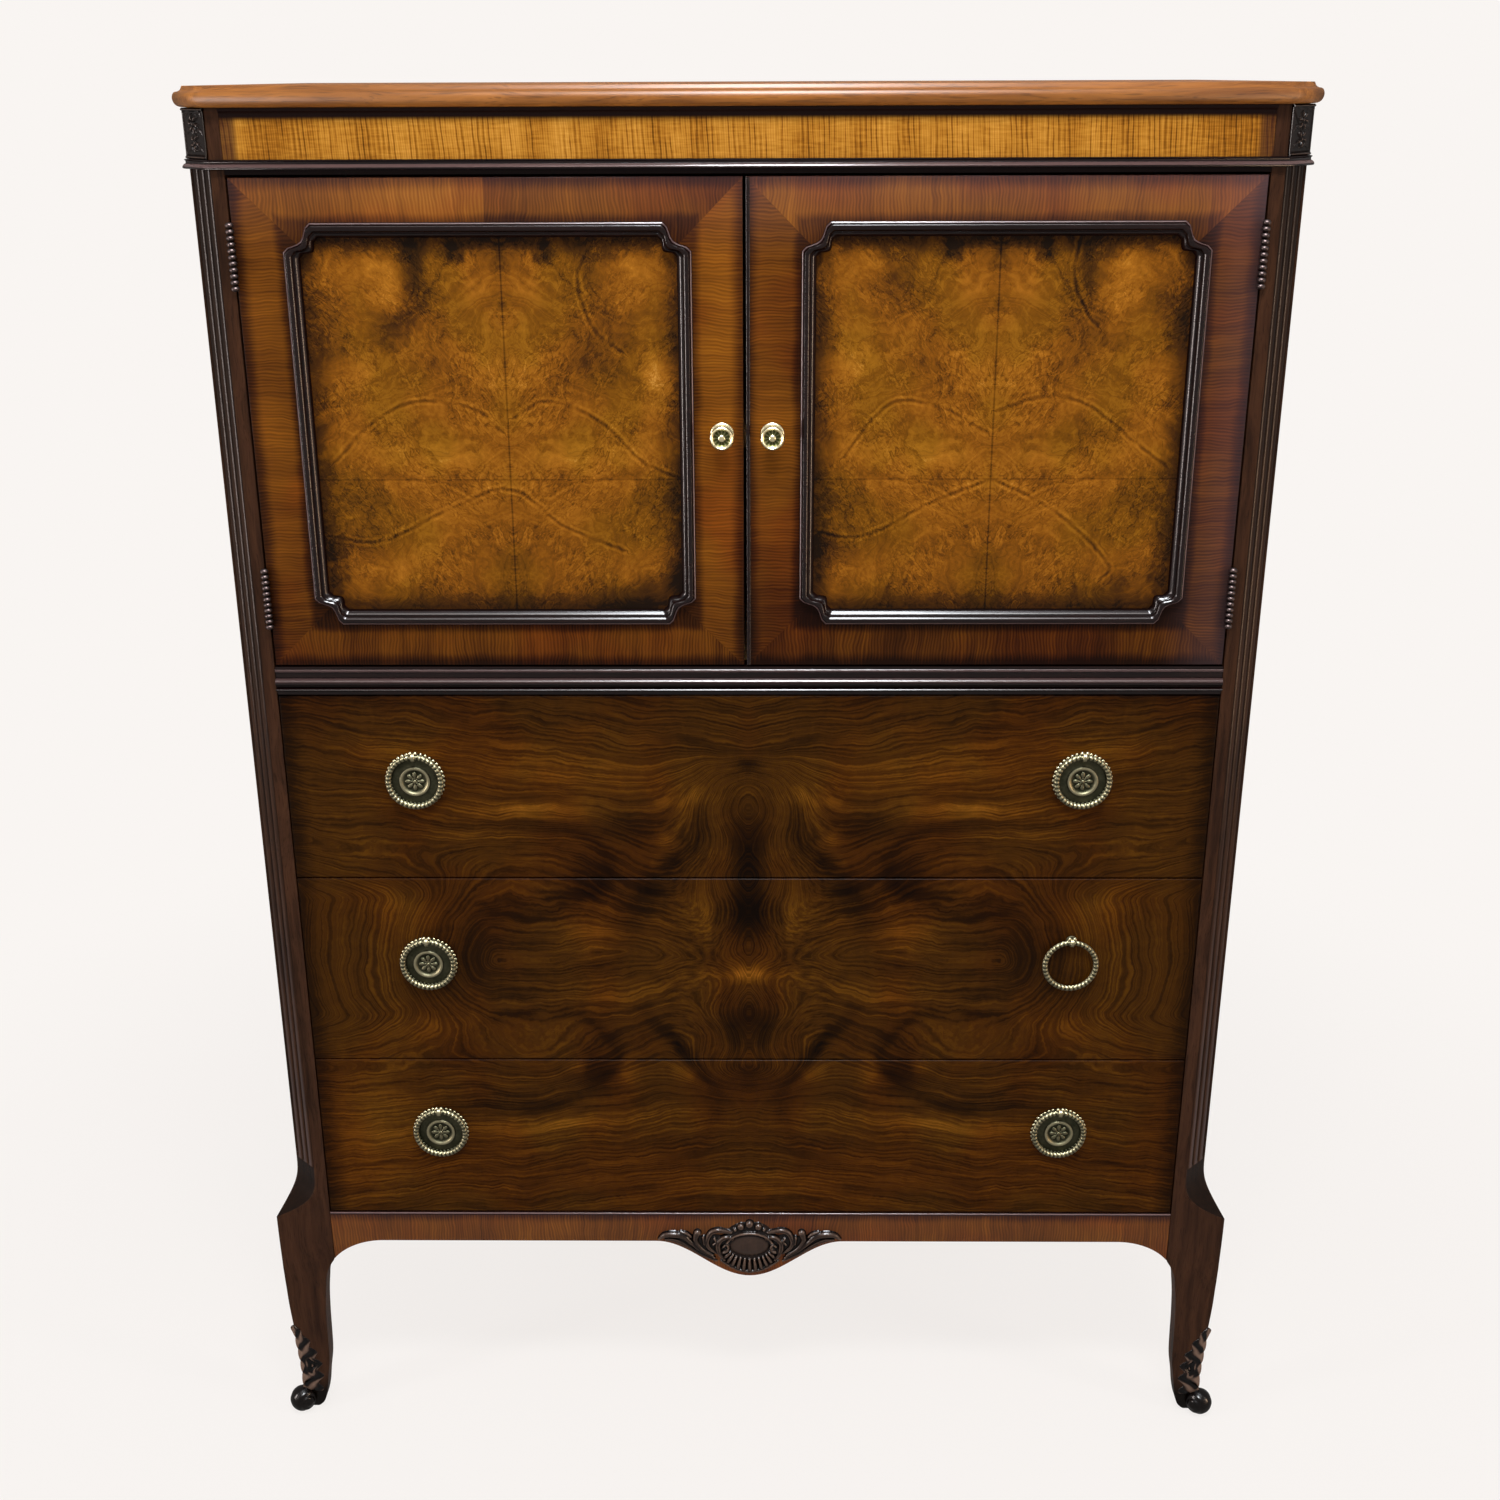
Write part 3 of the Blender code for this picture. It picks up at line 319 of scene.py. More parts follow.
# A carved patch: a grid raised by heights over a surface, open where the height is well below it.
# place(across, up) gives a point of the surface and the way out of it.
def reliefMesh(acrossLine, upLine, heights, place, shades, sunk=0.0006):
    bm = bmesh.new()
    layer = bm.verts.layers.float.new("shade")
    rows = []
    for j, up in enumerate(upLine):
        row = []
        for i, across in enumerate(acrossLine):
            at, out = place(across, up)
            row.append(bm.verts.new(at + out * max(heights[j][i], -sunk)))
            row[-1][layer] = shades[j][i]
        rows.append(row)
    kept = heights > -sunk * 0.98
    for j in range(len(upLine) - 1):
        for i in range(len(acrossLine) - 1):
            if kept[j : j + 2, i : i + 2].any():
                bm.faces.new((rows[j][i], rows[j][i + 1], rows[j + 1][i + 1], rows[j + 1][i]))
    bmesh.ops.delete(bm, geom=[v for v in bm.verts if not v.link_faces], context="VERTS")
    rim = [one for one in bm.edges if len(one.link_faces) == 1]
    made = bmesh.ops.extrude_edge_only(bm, edges=rim)["geom"]
    out = place(acrossLine[0], upLine[0])[1]
    verts = [v for v in made if isinstance(v, bmesh.types.BMVert)]
    bmesh.ops.translate(bm, verts=verts, vec=-out * 0.0006)
    bmesh.ops.holes_fill(bm, edges=[one for one in made if isinstance(one, bmesh.types.BMEdge)], sides=0)
    return bm


# How far each place stands above or below its own surroundings, as a shade: painted highlight on what
# stands up, painted shade in the hollows
def localShade(heights, reach, strength):
    padded = np.pad(heights, reach, mode="edge")
    total = np.zeros_like(heights)
    side = 2 * reach + 1
    for j in range(side):
        for i in range(side):
            total += padded[j : j + heights.shape[0], i : i + heights.shape[1]]
    return np.clip((heights - total / side**2) * strength - 0.1, -0.9, 0.9)


# The height of carved strokes over a grid, each a smooth line with a width and a height along it.
# A stroke's points are (across, up, half width, height), and a groove above 0 splits its crest.
def strokeHeights(strokes, across, up, ground=-0.001):
    heights = np.full_like(up, ground)
    for points, groove in strokes:
        line = smoothLine(points, 5) if len(points) > 2 else [np.array(p, float) for p in points]
        if len(line) == 1:
            line = line * 2
        for a, b in zip(line, line[1:]):
            run = (b - a)[:2]
            t = np.clip(((across - a[0]) * run[0] + (up - a[1]) * run[1]) / max(run @ run, 1e-14), 0, 1)
            width = a[2] + (b[2] - a[2]) * t
            tall = a[3] + (b[3] - a[3]) * t
            gone = np.hypot(across - a[0] - run[0] * t, up - a[1] - run[1] * t) / np.maximum(width, 1e-6)
            shape = np.where(gone < 1, np.sqrt(np.maximum(1 - gone**2, 0)), 1 - gone)
            shape = shape - groove * np.exp(-((gone / 0.28) ** 2))
            heights = np.maximum(heights, tall * shape)
    return heights


def mirroredStrokes(strokes):
    both = list(strokes)
    for points, groove in strokes:
        if any(abs(p[0]) > 1e-9 for p in points):
            both.append(([(-p[0], *p[1:]) for p in points], groove))
    return both


making = {"tree": None}  # the node tree that is being made


def feed(socket, value):
    if isinstance(value, bpy.types.NodeSocket):
        making["tree"].links.new(value, socket)
    elif value is not None:
        socket.default_value = value


def add(kind, inputs, **settings):
    node = making["tree"].nodes.new(kind)
    for name, value in settings.items():
        setattr(node, name, value)
    for key, value in inputs.items():
        feed(node.inputs[key], value)
    return node


# A tree of Geometry Nodes that repeats one small rounded piece round a circle or along a line
def repeatTree(name, alongLine):
    tree = making["tree"] = bpy.data.node_groups.new(name, "GeometryNodeTree")
    wanted = (
        ("Count", "NodeSocketInt"), ("Radius", "NodeSocketFloat"), ("Half Sizes", "NodeSocketVector"),
        ("Segments", "NodeSocketInt"), ("Finish", "NodeSocketMaterial"),
    )
    for label, kind in wanted:
        tree.interface.new_socket(label, in_out="INPUT", socket_type=kind)
    tree.interface.new_socket("Geometry", in_out="OUTPUT", socket_type="NodeSocketGeometry")
    given = add("NodeGroupInput", {}).outputs
    count, radius, steps = (given[label] for label in ("Count", "Radius", "Segments"))
    rotation = None
    if alongLine:
        step = add("ShaderNodeCombineXYZ", {"Z": radius}).outputs[0]
        path = add("GeometryNodeMeshLine", {"Offset": step, "Count": count}, mode="OFFSET")
    else:
        path = add("GeometryNodeMeshCircle", {"Vertices": count, "Radius": radius})
        place = add("GeometryNodeInputPosition", {}).outputs[0]
        rotation = add("FunctionNodeAlignRotationToVector", {"Vector": place}, axis="X").outputs[0]
    ball = add("GeometryNodeMeshUVSphere", {"Radius": 1.0, "Segments": steps, "Rings": steps})
    scaling = {"Geometry": ball.outputs["Mesh"], "Scale": given["Half Sizes"]}
    sized = add("GeometryNodeTransform", scaling).outputs["Geometry"]
    placing = {"Points": path.outputs["Mesh"], "Instance": sized, "Rotation": rotation}
    repeat = add("GeometryNodeInstanceOnPoints", placing)
    real = add("GeometryNodeRealizeInstances", {0: repeat.outputs[0]})
    smooth = add("GeometryNodeSetShadeSmooth", {"Geometry": real.outputs[0]}).outputs[0]
    coloured = add("GeometryNodeSetMaterial", {"Geometry": smooth, "Material": given["Finish"]})
    add("NodeGroupOutput", {0: coloured.outputs[0]})
    return tree


# The repeated pieces as a plain mesh, put in place by a matrix
def repeated(name, tree, matrix, finish, sizes):
    piece = bpy.data.objects.new(name, bpy.data.meshes.new(name))
    scene.collection.objects.link(piece)
    modifier = piece.modifiers.new("repeat", "NODES")
    modifier.node_group = tree
    sockets = {item.name: item.identifier for item in tree.interface.items_tree if item.in_out == "INPUT"}
    for label, value in {**sizes, "Finish": finish}.items():
        modifier[sockets[label]] = value
    plainMesh(piece)
    piece.data.transform(matrix)
    piece.data.materials.clear()
    piece.data.materials.append(finish)
    return piece


def joinPieces(name, parts):
    bm = bmesh.new()
    finish = parts[0].data.materials[0]
    for part in parts:
        bm.from_mesh(part.data)
        bpy.data.objects.remove(part)
    return linkMesh(name, bm, finish, 40)


# Gives a finished piece its shade attribute, from a rule that takes a place.
def shadePiece(piece, rule):
    made = piece.data.attributes.new("shade", "FLOAT", "POINT")
    for vert, value in zip(piece.data.vertices, made.data):
        value.value = rule(vert.co)


# Small helpers for materials. Each adds its nodes to the tree that is being made.

def newFinish(name, coat=0.0, coatRoughness=0.1, metallic=0.0):
    material = bpy.data.materials.new(name)
    material.use_nodes = True
    making["tree"] = material.node_tree
    shader = material.node_tree.nodes["Principled BSDF"]
    values = {
        "Roughness": 0.35,
        "Metallic": metallic,
        "Specular IOR Level": 0.5 if metallic else 0.0,  # a wood's polish is its coat
        "Coat Weight": coat,
        "Coat Roughness": coatRoughness,
    }
    for label, value in values.items():
        shader.inputs[label].default_value = value
    return material, shader


def calc(operation, first, second=0.0, third=0.0, clamp=False):
    inputs = {0: first, 1: second, 2: third}
    return add("ShaderNodeMath", inputs, operation=operation, use_clamp=clamp).outputs[0]


def plus(first, second, clamp=False):
    return calc("ADD", first, second, clamp=clamp)


def minus(first, second):
    return calc("SUBTRACT", first, second)


def times(first, second):
    return calc("MULTIPLY", first, second)


def timesPlus(value, factor, shift):
    return calc("MULTIPLY_ADD", value, factor, shift)


def absolute(value):
    return calc("ABSOLUTE", value)


def larger(first, second):
    return calc("MAXIMUM", first, second)


def smaller(first, second):
    return calc("MINIMUM", first, second)


# An amount at nought, gone between start and end on either side of it
def near(value, start, end, amount):
    return span(absolute(value), start, end, amount, 0.0)


def objectPlace():
    return add("ShaderNodeTexCoord", {}).outputs["Object"]


def split(vector):
    return add("ShaderNodeSeparateXYZ", {0: vector}).outputs


def joined(x=0.0, y=0.0, z=0.0):
    return add("ShaderNodeCombineXYZ", {0: x, 1: y, 2: z}).outputs[0]


def scaled(vector, scale, turn=(0, 0, 0), shift=(0, 0, 0)):
    inputs = {"Vector": vector, "Scale": scale, "Rotation": turn, "Location": shift}
    return add("ShaderNodeMapping", inputs).outputs[0]


def cloud(vector, scale=1.0, detail=3.0, roughness=0.5, distortion=0.0):
    inputs = {"Vector": vector, "Scale": scale, "Detail": detail, "Roughness": roughness}
    return add("ShaderNodeTexNoise", {**inputs, "Distortion": distortion}).outputs["Fac"]


# A cloud drawn out along one way, as grain is, from two lengths with their own scales
def grain(across, acrossScale, along, alongScale, detail, roughness=0.5, between=0.0):
    vector = joined(times(across, acrossScale), between, times(along, alongScale))
    return cloud(vector, 1, detail, roughness)


def span(value, low, high, newLow=0.0, newHigh=1.0):
    inputs = {"Value": value, "From Min": low, "From Max": high, "To Min": newLow, "To Max": newHigh}
    return add("ShaderNodeMapRange", inputs, interpolation_type="SMOOTHSTEP", clamp=True).outputs[0]


# Adds patterns that run from 0 to 1 to a level, each spread evenly about no change by its amount.
def layered(level, *patterns):
    for pattern, amount in patterns:
        level = plus(level, timesPlus(pattern, amount, -0.5 * amount))
    return level


def ramp(factor, stops):
    node = add("ShaderNodeValToRGB", {0: factor})
    elements = node.color_ramp.elements
    while len(elements) < len(stops):
        elements.new(0.5)
    for element, (place, colour) in zip(elements, stops):
        element.position = place
        element.color = tone(*colour)
    return node.outputs[0]


def blend(factor, first, second, kind="MIX"):
    inputs = {0: factor, 6: first, 7: second}
    return add("ShaderNodeMix", inputs, data_type="RGBA", blend_type=kind, clamp_factor=True).outputs[2]


def attribute(name, part="Vector"):
    return add("ShaderNodeAttribute", {}, attribute_name=name).outputs[part]


# Fine lines a set way apart, drifting closer and wider, from 0 to 1
def stripes(across, along, spacing, wander):
    phase = times(grain(across, 0.22 / spacing, along, 30, 2), wander)
    wave = calc("SINE", timesPlus(across, 2 * math.pi / spacing, phase))
    return timesPlus(wave, 0.5, 0.5)


# 1 in the open, darker in corners and hollows.
def crevice(distance):
    return add("ShaderNodeAmbientOcclusion", {"Distance": distance}, samples=6).outputs["AO"]


def setSurface(shader, colour, roughness, height, depth, strength):
    bump = add("ShaderNodeBump", {"Height": height, "Distance": depth, "Strength": strength})
    for label, value in (("Base Color", colour), ("Roughness", roughness), ("Normal", bump.outputs[0])):
        feed(shader.inputs[label], value)


# The stage: camera, floor, lights, background

view = {
    "pitch": 20.768,
    "yaw": -0.597,
    "roll": 0.217,
    "place": (0.0123, front - 1.5244, 1.3189),
    "lens": 1784.7 / 1500 * 36,
    "shift": 5.8 / 1500,
}
backgroundColour = tone(249, 245, 242)
floorColour = tone(236, 233, 230)


def placeCamera():
    pitch, yaw, roll = (math.radians(view[key]) for key in ("pitch", "yaw", "roll"))
    ahead = Vector((math.sin(yaw) * math.cos(pitch), math.cos(yaw) * math.cos(pitch), -math.sin(pitch)))
    level = ahead.cross(Vector((0, 0, 1))).normalized()
    below = ahead.cross(level)
    down = below * math.cos(roll) - level * math.sin(roll)
    across = level * math.cos(roll) + below * math.sin(roll)
    matrix = Matrix((across, -down, -ahead)).transposed().to_4x4()
    matrix.translation = Vector(view["place"])
    data = bpy.data.cameras.new("camera")
    data.sensor_width = 36
    data.lens = view["lens"]
    data.shift_x = view["shift"]
    camera = bpy.data.objects.new("camera", data)
    camera.matrix_world = matrix
    scene.collection.objects.link(camera)
    scene.camera = camera


# name, place, aim, size, power, colour
lights = (
    ("overhead", (0.08, -1.5, 3.0), (0, 0, 0.7), (1.1, 0.42), 50, (1.0, 0.98, 0.98)),
    ("leftWindow", (-2.4, -1.2, 1.5), (0, 0, 0.7), (0.30, 1.8), 23, (0.94, 0.96, 1.0)),
    ("rightWindow", (2.4, -1.2, 1.5), (0, 0, 0.7), (0.30, 1.8), 20, (1.0, 0.97, 0.94)),
)
# lamps that only show as highlights on the polish
gleams = (
    ("skylight", (0.06, -1.15, 3.0), (0.06, -0.3, 0.7), (0.6, 1.5), 450, (0.90, 0.95, 1.0)),
    ("paleSky", (0.0, -1.5, 3.2), (0.0, -0.3, 0.7), (2.4, 0.8), 100, (1.0, 0.92, 0.88)),
    ("leftGleam", (-1.9, -0.9, 0.90), (-0.4, -0.2, 0.90), (0.20, 1.1), 66, (1.0, 0.87, 0.82)),
    ("rightGleam", (1.9, -0.9, 0.60), (0.4, -0.2, 0.60), (0.20, 0.9), 34, (1.0, 0.66, 0.42)),
)
worldStrength = 0.42


# 1 for the rays that show the pale background: the camera's, and those off gloss or through glass
def shownRays():
    rays = add("ShaderNodeLightPath", {}).outputs
    return larger(larger(rays["Is Camera Ray"], rays["Is Glossy Ray"]), rays["Is Transmission Ray"])


def mixShaders(factor, first, second):
    return add("ShaderNodeMixShader", {0: factor, 1: first.outputs[0], 2: second.outputs[0]})


def lightStage():
    for name, place, aim, spread, power, colour in lights + gleams:
        data = bpy.data.lights.new(name, "AREA")
        data.shape = "RECTANGLE"
        data.size, data.size_y = spread
        data.energy = power
        data.color = colour
        lamp = bpy.data.objects.new(name, data)
        lamp.location = place
        lamp.rotation_euler = (Vector(aim) - Vector(place)).to_track_quat("-Z", "Y").to_euler()
        scene.collection.objects.link(lamp)
        lamp.visible_diffuse = name in [light[0] for light in lights]
    world = bpy.data.worlds.new("studio")
    scene.world = world
    world.use_nodes = True
    making["tree"] = world.node_tree
    world.node_tree.nodes.clear()
    plain = add("ShaderNodeBackground", {"Color": (1, 1, 1, 1), "Strength": worldStrength})
    shown = add("ShaderNodeBackground", {"Color": backgroundColour, "Strength": 1.0})
    add("ShaderNodeOutputWorld", {0: mixShaders(shownRays(), plain, shown).outputs[0]})


def layFloor():
    material = bpy.data.materials.new("floorPaper")
    material.use_nodes = True
    making["tree"] = material.node_tree
    material.node_tree.nodes.clear()
    matt = add("ShaderNodeBsdfDiffuse", {"Color": floorColour})
    glow = add("ShaderNodeEmission", {"Color": backgroundColour, "Strength": 1.0})
    x, y, z = split(objectPlace())
    away = add("ShaderNodeVectorMath", {0: joined(x, y)}, operation="LENGTH").outputs["Value"]
    # only the shadow shows, and it fades outwards
    shown = mixShaders(span(away, 0.6, 1.5, 0.88, 1.0), matt, glow)
    add("ShaderNodeOutputMaterial", {0: mixShaders(shownRays(), matt, shown).outputs[0]})
    bm = bmesh.new()
    bmesh.ops.create_grid(bm, x_segments=1, y_segments=1, size=6)
    makePiece("floor", bm, material)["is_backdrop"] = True


scene.view_settings.view_transform = "Standard"
placeCamera()
lightStage()
layFloor()
print("stage: camera, lights and floor")


# The finishes

# name: dark and light wood, crest colour of the painted highlights, axis of the grain, streaks across a
# metre, and the polish's roughness and weight
straightWood = {
    "post_walnut": ((32, 17, 9), (70, 43, 27), (90, 76, 74), 2, 150, 0.26, 0.12),
    "dark_moulding": ((10, 3, 3), (28, 12, 10), (108, 84, 82), 0, 160, 0.20, 0.30),
    "side_walnut": ((46, 24, 10), (92, 54, 24), (120, 80, 44), 2, 90, 0.34, 0.20),
    "inner_wood": ((118, 80, 44), (166, 122, 76), (180, 136, 90), 0, 80, 0.55, 0.20),
    "top_walnut": ((106, 60, 20), (174, 110, 46), (190, 130, 80), 0, 110, 0.42, 0.29),
    "carved_walnut": ((12, 7, 6), (40, 25, 18), (118, 94, 80), 2, 120, 0.24, 0.22),
}
# the carving's hollows are darkened with painted shade
carvingDepth = 0.006  # how far a hollow of the carving darkens its surroundings
# where the painted shade on the top's canted corners, which face away from the light, starts and is full
shadedCorners = {"top_walnut": (0.452, 0.470)}


# Wood with its grain along one axis: streaks, pores, patches of tone and of gloss, and painted highlights
# and shade from its shade attribute.
def straightWalnut(name, dark, light, crest, axis, streakCount, rough, coat):
    material, shader = newFinish(name, coat, rough)
    place = objectPlace()
    fine = [streakCount] * 3
    fine[axis] = streakCount / 22
    wavy = cloud(place, 7, 2)
    shift = add("ShaderNodeVectorMath", {0: joined(wavy, wavy, wavy), "Scale": 0.03}, operation="SCALE")
    bent = add("ShaderNodeVectorMath", {0: place, 1: shift.outputs[0]}, operation="ADD").outputs[0]
    streaks = cloud(scaled(bent, fine), 1, 5, 0.62)
    pores = span(cloud(scaled(bent, [one * 7 for one in fine]), 1, 2, 0.5), 0.52, 0.70)
    patches = cloud(place, 9, 3)
    level = plus(timesPlus(streaks, 1.5, -0.35), timesPlus(patches, 0.7, -0.28))
    colour = ramp(level, ((0.1, dark), (0.9, light)))
    colour = blend(times(pores, 0.45), colour, tone(*(one * 0.45 for one in dark)))
    # painted highlight towards the crest colour where shade is above 0, painted shade towards near black
    # where it is below 0
    shade = attribute("shade", "Fac")
    black = tone(*(one * 0.35 for one in dark))
    colour = blend(larger(shade, 0.0), colour, tone(*crest))
    colour = blend(larger(times(shade, -1.0), 0.0), colour, black)
    # painted shade in the carving's hollows, from ambient occlusion
    if name == "carved_walnut":
        colour = blend(span(crevice(carvingDepth), 0.25, 0.95), black, colour)
    # painted shade on the canted corners of the top
    if name in shadedCorners:
        x, y, z = split(place)
        outside = span(absolute(x), *shadedCorners[name])
        ahead = span(y, front + 0.030, front + 0.010)
        colour = blend(times(times(outside, ahead), 0.8), colour, black)
    gloss = timesPlus(patches, 0.22, rough - 0.10)
    setSurface(shader, colour, gloss, timesPlus(pores, -0.6, streaks), 0.0002, 0.5)
    return material


# Fiddleback: fine dark ripples across golden wood, darker bands at both ends.
def frieze():
    material, shader = newFinish("frieze_fiddleback", 0.10, 0.32)
    place = objectPlace()
    x, y, z = split(place)
    lean = timesPlus(cloud(scaled(place, (14, 1, 10)), 1, 2), 0.003, timesPlus(z, 0.05, x))
    ripple = stripes(lean, z, 0.0043, 6)
    finer = stripes(plus(lean, 0.7), z, 0.0019, 8)
    uneven = span(grain(lean, 130, z, 20, 2), 0.36, 0.62, -0.04, -0.32)
    broad = grain(lean, 30, z, 8, 3)
    threads = grain(x, 60, z, 520, 3)
    level = plus(0.62, times(span(ripple, 0.55, 1.0), uneven))
    level = layered(level, (finer, 0.16), (broad, 0.8), (threads, 0.52))
    side = absolute(x)
    level = plus(level, span(side, 0.33, 0.41, -0.04, -0.16))
    colour = ramp(level, (
        (0.05, (84, 46, 8)), (0.35, (134, 82, 18)), (0.6, (174, 118, 38)), (0.95, (208, 152, 68)),
    ))
    colour = blend(span(side, 0.411, 0.4175), colour, blend(0.72, colour, tone(46, 22, 22)))
    # painted shade under the top's overhang: near black over the fillet and cove, fading down onto the
    # frieze
    fillet = span(z, chest["caseTop"] - 0.0105, chest["caseTop"] - 0.0065)
    colour = blend(fillet, colour, tone(26, 12, 9))
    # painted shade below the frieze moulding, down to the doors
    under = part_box("frieze_moulding")[0].z + 0.002
    colour = blend(calc("LESS_THAN", z, under), colour, tone(16, 7, 7))
    setSurface(shader, colour, timesPlus(broad, 0.2, 0.22), ripple, 0.0002, 0.5)
    return material


# A door frame's veneer: its grain runs across each of the four mitred strips.
# tints: which strip, where its lighter or darker stretch starts and ends, amount
# paintedSheen: axis, where it starts and is full, amount of a painted purplish sheen
def crossband(name, low, high, tints, base, coat, paintedSheen, opening=None):
    material, shader = newFinish(name, coat, 0.32)
    place = objectPlace()
    x, y, z = split(place)
    middle = ((low[0] + high[0]) / 2, (low[1] + high[1]) / 2)
    fromSide = minus((high[0] - low[0]) / 2, absolute(minus(x, middle[0])))
    fromEnd = minus((high[1] - low[1]) / 2, absolute(minus(z, middle[1])))
    gap = minus(fromSide, fromEnd)
    rail = span(gap, -0.0003, 0.0003)
    rippled = timesPlus(cloud(scaled(place, (16, 16, 16)), 1, 3), 0.016, -0.008)
    across = plus(add("ShaderNodeMix", {0: rail, 2: z, 3: x}).outputs[0], rippled)
    outward = add("ShaderNodeMix", {0: rail, 2: x, 3: z}).outputs[0]
    lines = grain(across, 620, outward, 16, 3, 0.6, rail)
    medium = grain(across, 150, outward, 9, 3, 0.6, rail)
    broad = grain(across, 18, outward, 12, 3, 0.5, rail)
    level = timesPlus(lines, 0.30, base - 0.17)
    level = layered(level, (stripes(across, outward, 0.0028, 10), 0.14), (medium, 0.36), (broad, 0.44))
    for which, start, end, amount in tints:
        lying = which in ("top", "bottom")
        along, beside, centre = (x, z, middle[1]) if lying else (z, x, middle[0])
        inside = times(span(along, *start), span(along, *end[::-1]))
        strip = rail if lying else minus(1.0, rail)
        half = calc("GREATER_THAN", beside, centre)
        if which in ("bottom", "left"):
            half = minus(1.0, half)
        level = timesPlus(times(times(strip, half), inside), amount, level)
    # darker towards the frame's outer edges, along a ragged line
    edgeWobble = timesPlus(cloud(scaled(place, (30, 30, 30)), 1, 3), 0.008, -0.004)
    level = plus(level, span(plus(smaller(fromSide, fromEnd), edgeWobble), 0.0, 0.013, -0.34, 0.0))
    if opening:
        # darker again beside the moulding: painted shade from the moulding, and old polish gathered there
        beyondX = larger(minus(opening[0], x), minus(x, opening[1]))
        beyondZ = larger(minus(opening[2], z), minus(z, opening[3]))
        level = plus(level, span(plus(larger(beyondX, beyondZ), edgeWobble), 0.0, 0.009, -0.30, 0.0))
    colour = ramp(level, (
        (0.0, (24, 9, 3)), (0.25, (58, 28, 6)), (0.5, (98, 55, 12)), (0.75, (134, 80, 18)),
        (1.0, (172, 112, 36)),
    ))
    hue = cloud(scaled(place, (9, 9, 9), shift=(3, 1, 2)), 1, 2)
    colour = blend(span(hue, 0.45, 0.62, 0.0, 0.6), colour, tone(240, 200, 226), "MULTIPLY")
    for axis, start, end, amount in paintedSheen:
        # a painted purplish sheen, standing for a reflection on the polish
        colour = blend(span((x, y, z)[axis], start, end, 0.0, amount), colour, tone(112, 92, 98))
    colour = blend(near(gap, 0.0002, 0.0006, 0.08), colour, tone(40, 18, 8))
    setSurface(shader, colour, timesPlus(broad, 0.2, 0.22), lines, 0.0002, 0.4)
    return material


# Veneer whose figure follows the piece's own attributes: growth lines, tone and the mirrored sheet
def figuredVeneer(name, stops, settings):
    material, shader = newFinish(name, settings["coat"], settings["rough"])
    growth, along, level = split(attribute("figure"))
    across, ridge, up = split(attribute("sheet"))
    flat = joined(across, 0.0, up)
    for scale, amount in settings["crinkles"]:
        growth = timesPlus(cloud(flat, scale, 3, 0.55), amount, growth)
    bands = settings["bands"]
    broad, lines, threads = (grain(growth, fast, along, slow, detail, 0.6) for fast, slow, detail in bands)
    lines = span(lines, 0.34, 0.66)
    curl = cloud(flat, settings["curlScale"], 5, 0.65, settings["curlTwist"])
    for kind, pattern in (("broad", broad), ("lines", lines), ("curl", curl)):
        level = layered(level, (pattern, settings[kind]))
    height = lines
    if "veins" in settings:
        level, height = addVeins(level, height, flat, ridge, settings)
    colour = ramp(level, stops)
    hue = span(cloud(flat, settings["hueScale"], 2), 0.40, 0.62)
    colour = blend(times(hue, settings["hue"]), colour, tone(*settings["otherHue"]), "MULTIPLY")
    pores = span(threads, 0.54, 0.74)
    colour = blend(times(pores, 0.35), colour, tone(*stops[0][1]))
    setSurface(shader, colour, timesPlus(curl, 0.14, settings["rough"] - 0.07), height, 0.00025, 0.4)
    return material


# The burl's short crumpled lines, its long drawn ridges, and the joints of its four matched leaves
def addVeins(level, height, flat, ridge, settings):
    patches = span(cloud(scaled(flat, (22, 22, 22), shift=(4, 0, 2)), 1, 2), 0.36, 0.60, 0.15, 1.0)
    fanned = scaled(flat, (1, 1, 1), turn=(0, settings["fan"], 0))
    veins, drawn = settings["veins"], settings["ridge"]
    for scale, long, width in settings["worms"]:
        # each line is dark with a light edge
        worm = cloud(scaled(fanned, (scale, 30, scale * long), shift=(long, 0, scale)), 1, 3, 0.6, 0.8)
        off = minus(worm, 0.5)
        dark = near(off, 0.0, width, -veins)
        light = near(minus(off, width * 1.3), 0.0, width * 0.9, veins * 0.75)
        both = times(plus(dark, light), patches)
        level = plus(level, both)
        height = timesPlus(both, 2.5, height)
    line = absolute(timesPlus(cloud(flat, 90, 3), 0.004, minus(ridge, 0.002)))
    dark = span(line, 0.0002, 0.0019, -drawn, 0.0)
    light = near(minus(line, 0.0030), 0.0002, 0.0019, drawn * 0.7)
    both = times(plus(dark, light), span(cloud(flat, 34, 2), 0.38, 0.56, 0.25, 1.0))
    level = plus(level, both)
    height = timesPlus(both, 2.0, height)
    x, y, z = split(objectPlace())
    fromSeam = smaller(*(absolute(minus(x, middle)) for middle in panelMiddle.values()))
    upright = span(fromSeam, 0.0002, 0.0012, -0.20, 0.0)
    lying = near(minus(z, settings["fold"]), 0.0002, 0.0012, -0.12)
    return plus(level, smaller(upright, lying)), height


# Metal that is bright where its own shade attribute says it is rubbed, and dull in its hollows.
def metal(name, bright, dull, rough, patina):
    material, shader = newFinish(name, metallic=1.0)
    place = objectPlace()
    specks = cloud(place, 500, 4, 0.6)
    uneven = timesPlus(specks, 0.5, times(cloud(place, 90, 3), 0.5))
    rubbed = timesPlus(uneven, patina, attribute("shade", "Fac"))
    rubbed = plus(rubbed, -0.5 * patina, clamp=True)
    rubbed = times(rubbed, span(crevice(0.003), 0.30, 0.95))
    colour = blend(rubbed, tone(*dull), tone(*bright))
    gloss = timesPlus(specks, 0.2, timesPlus(rubbed, -0.12, rough))
    setSurface(shader, colour, gloss, specks, 0.0001, 0.4)
    return material


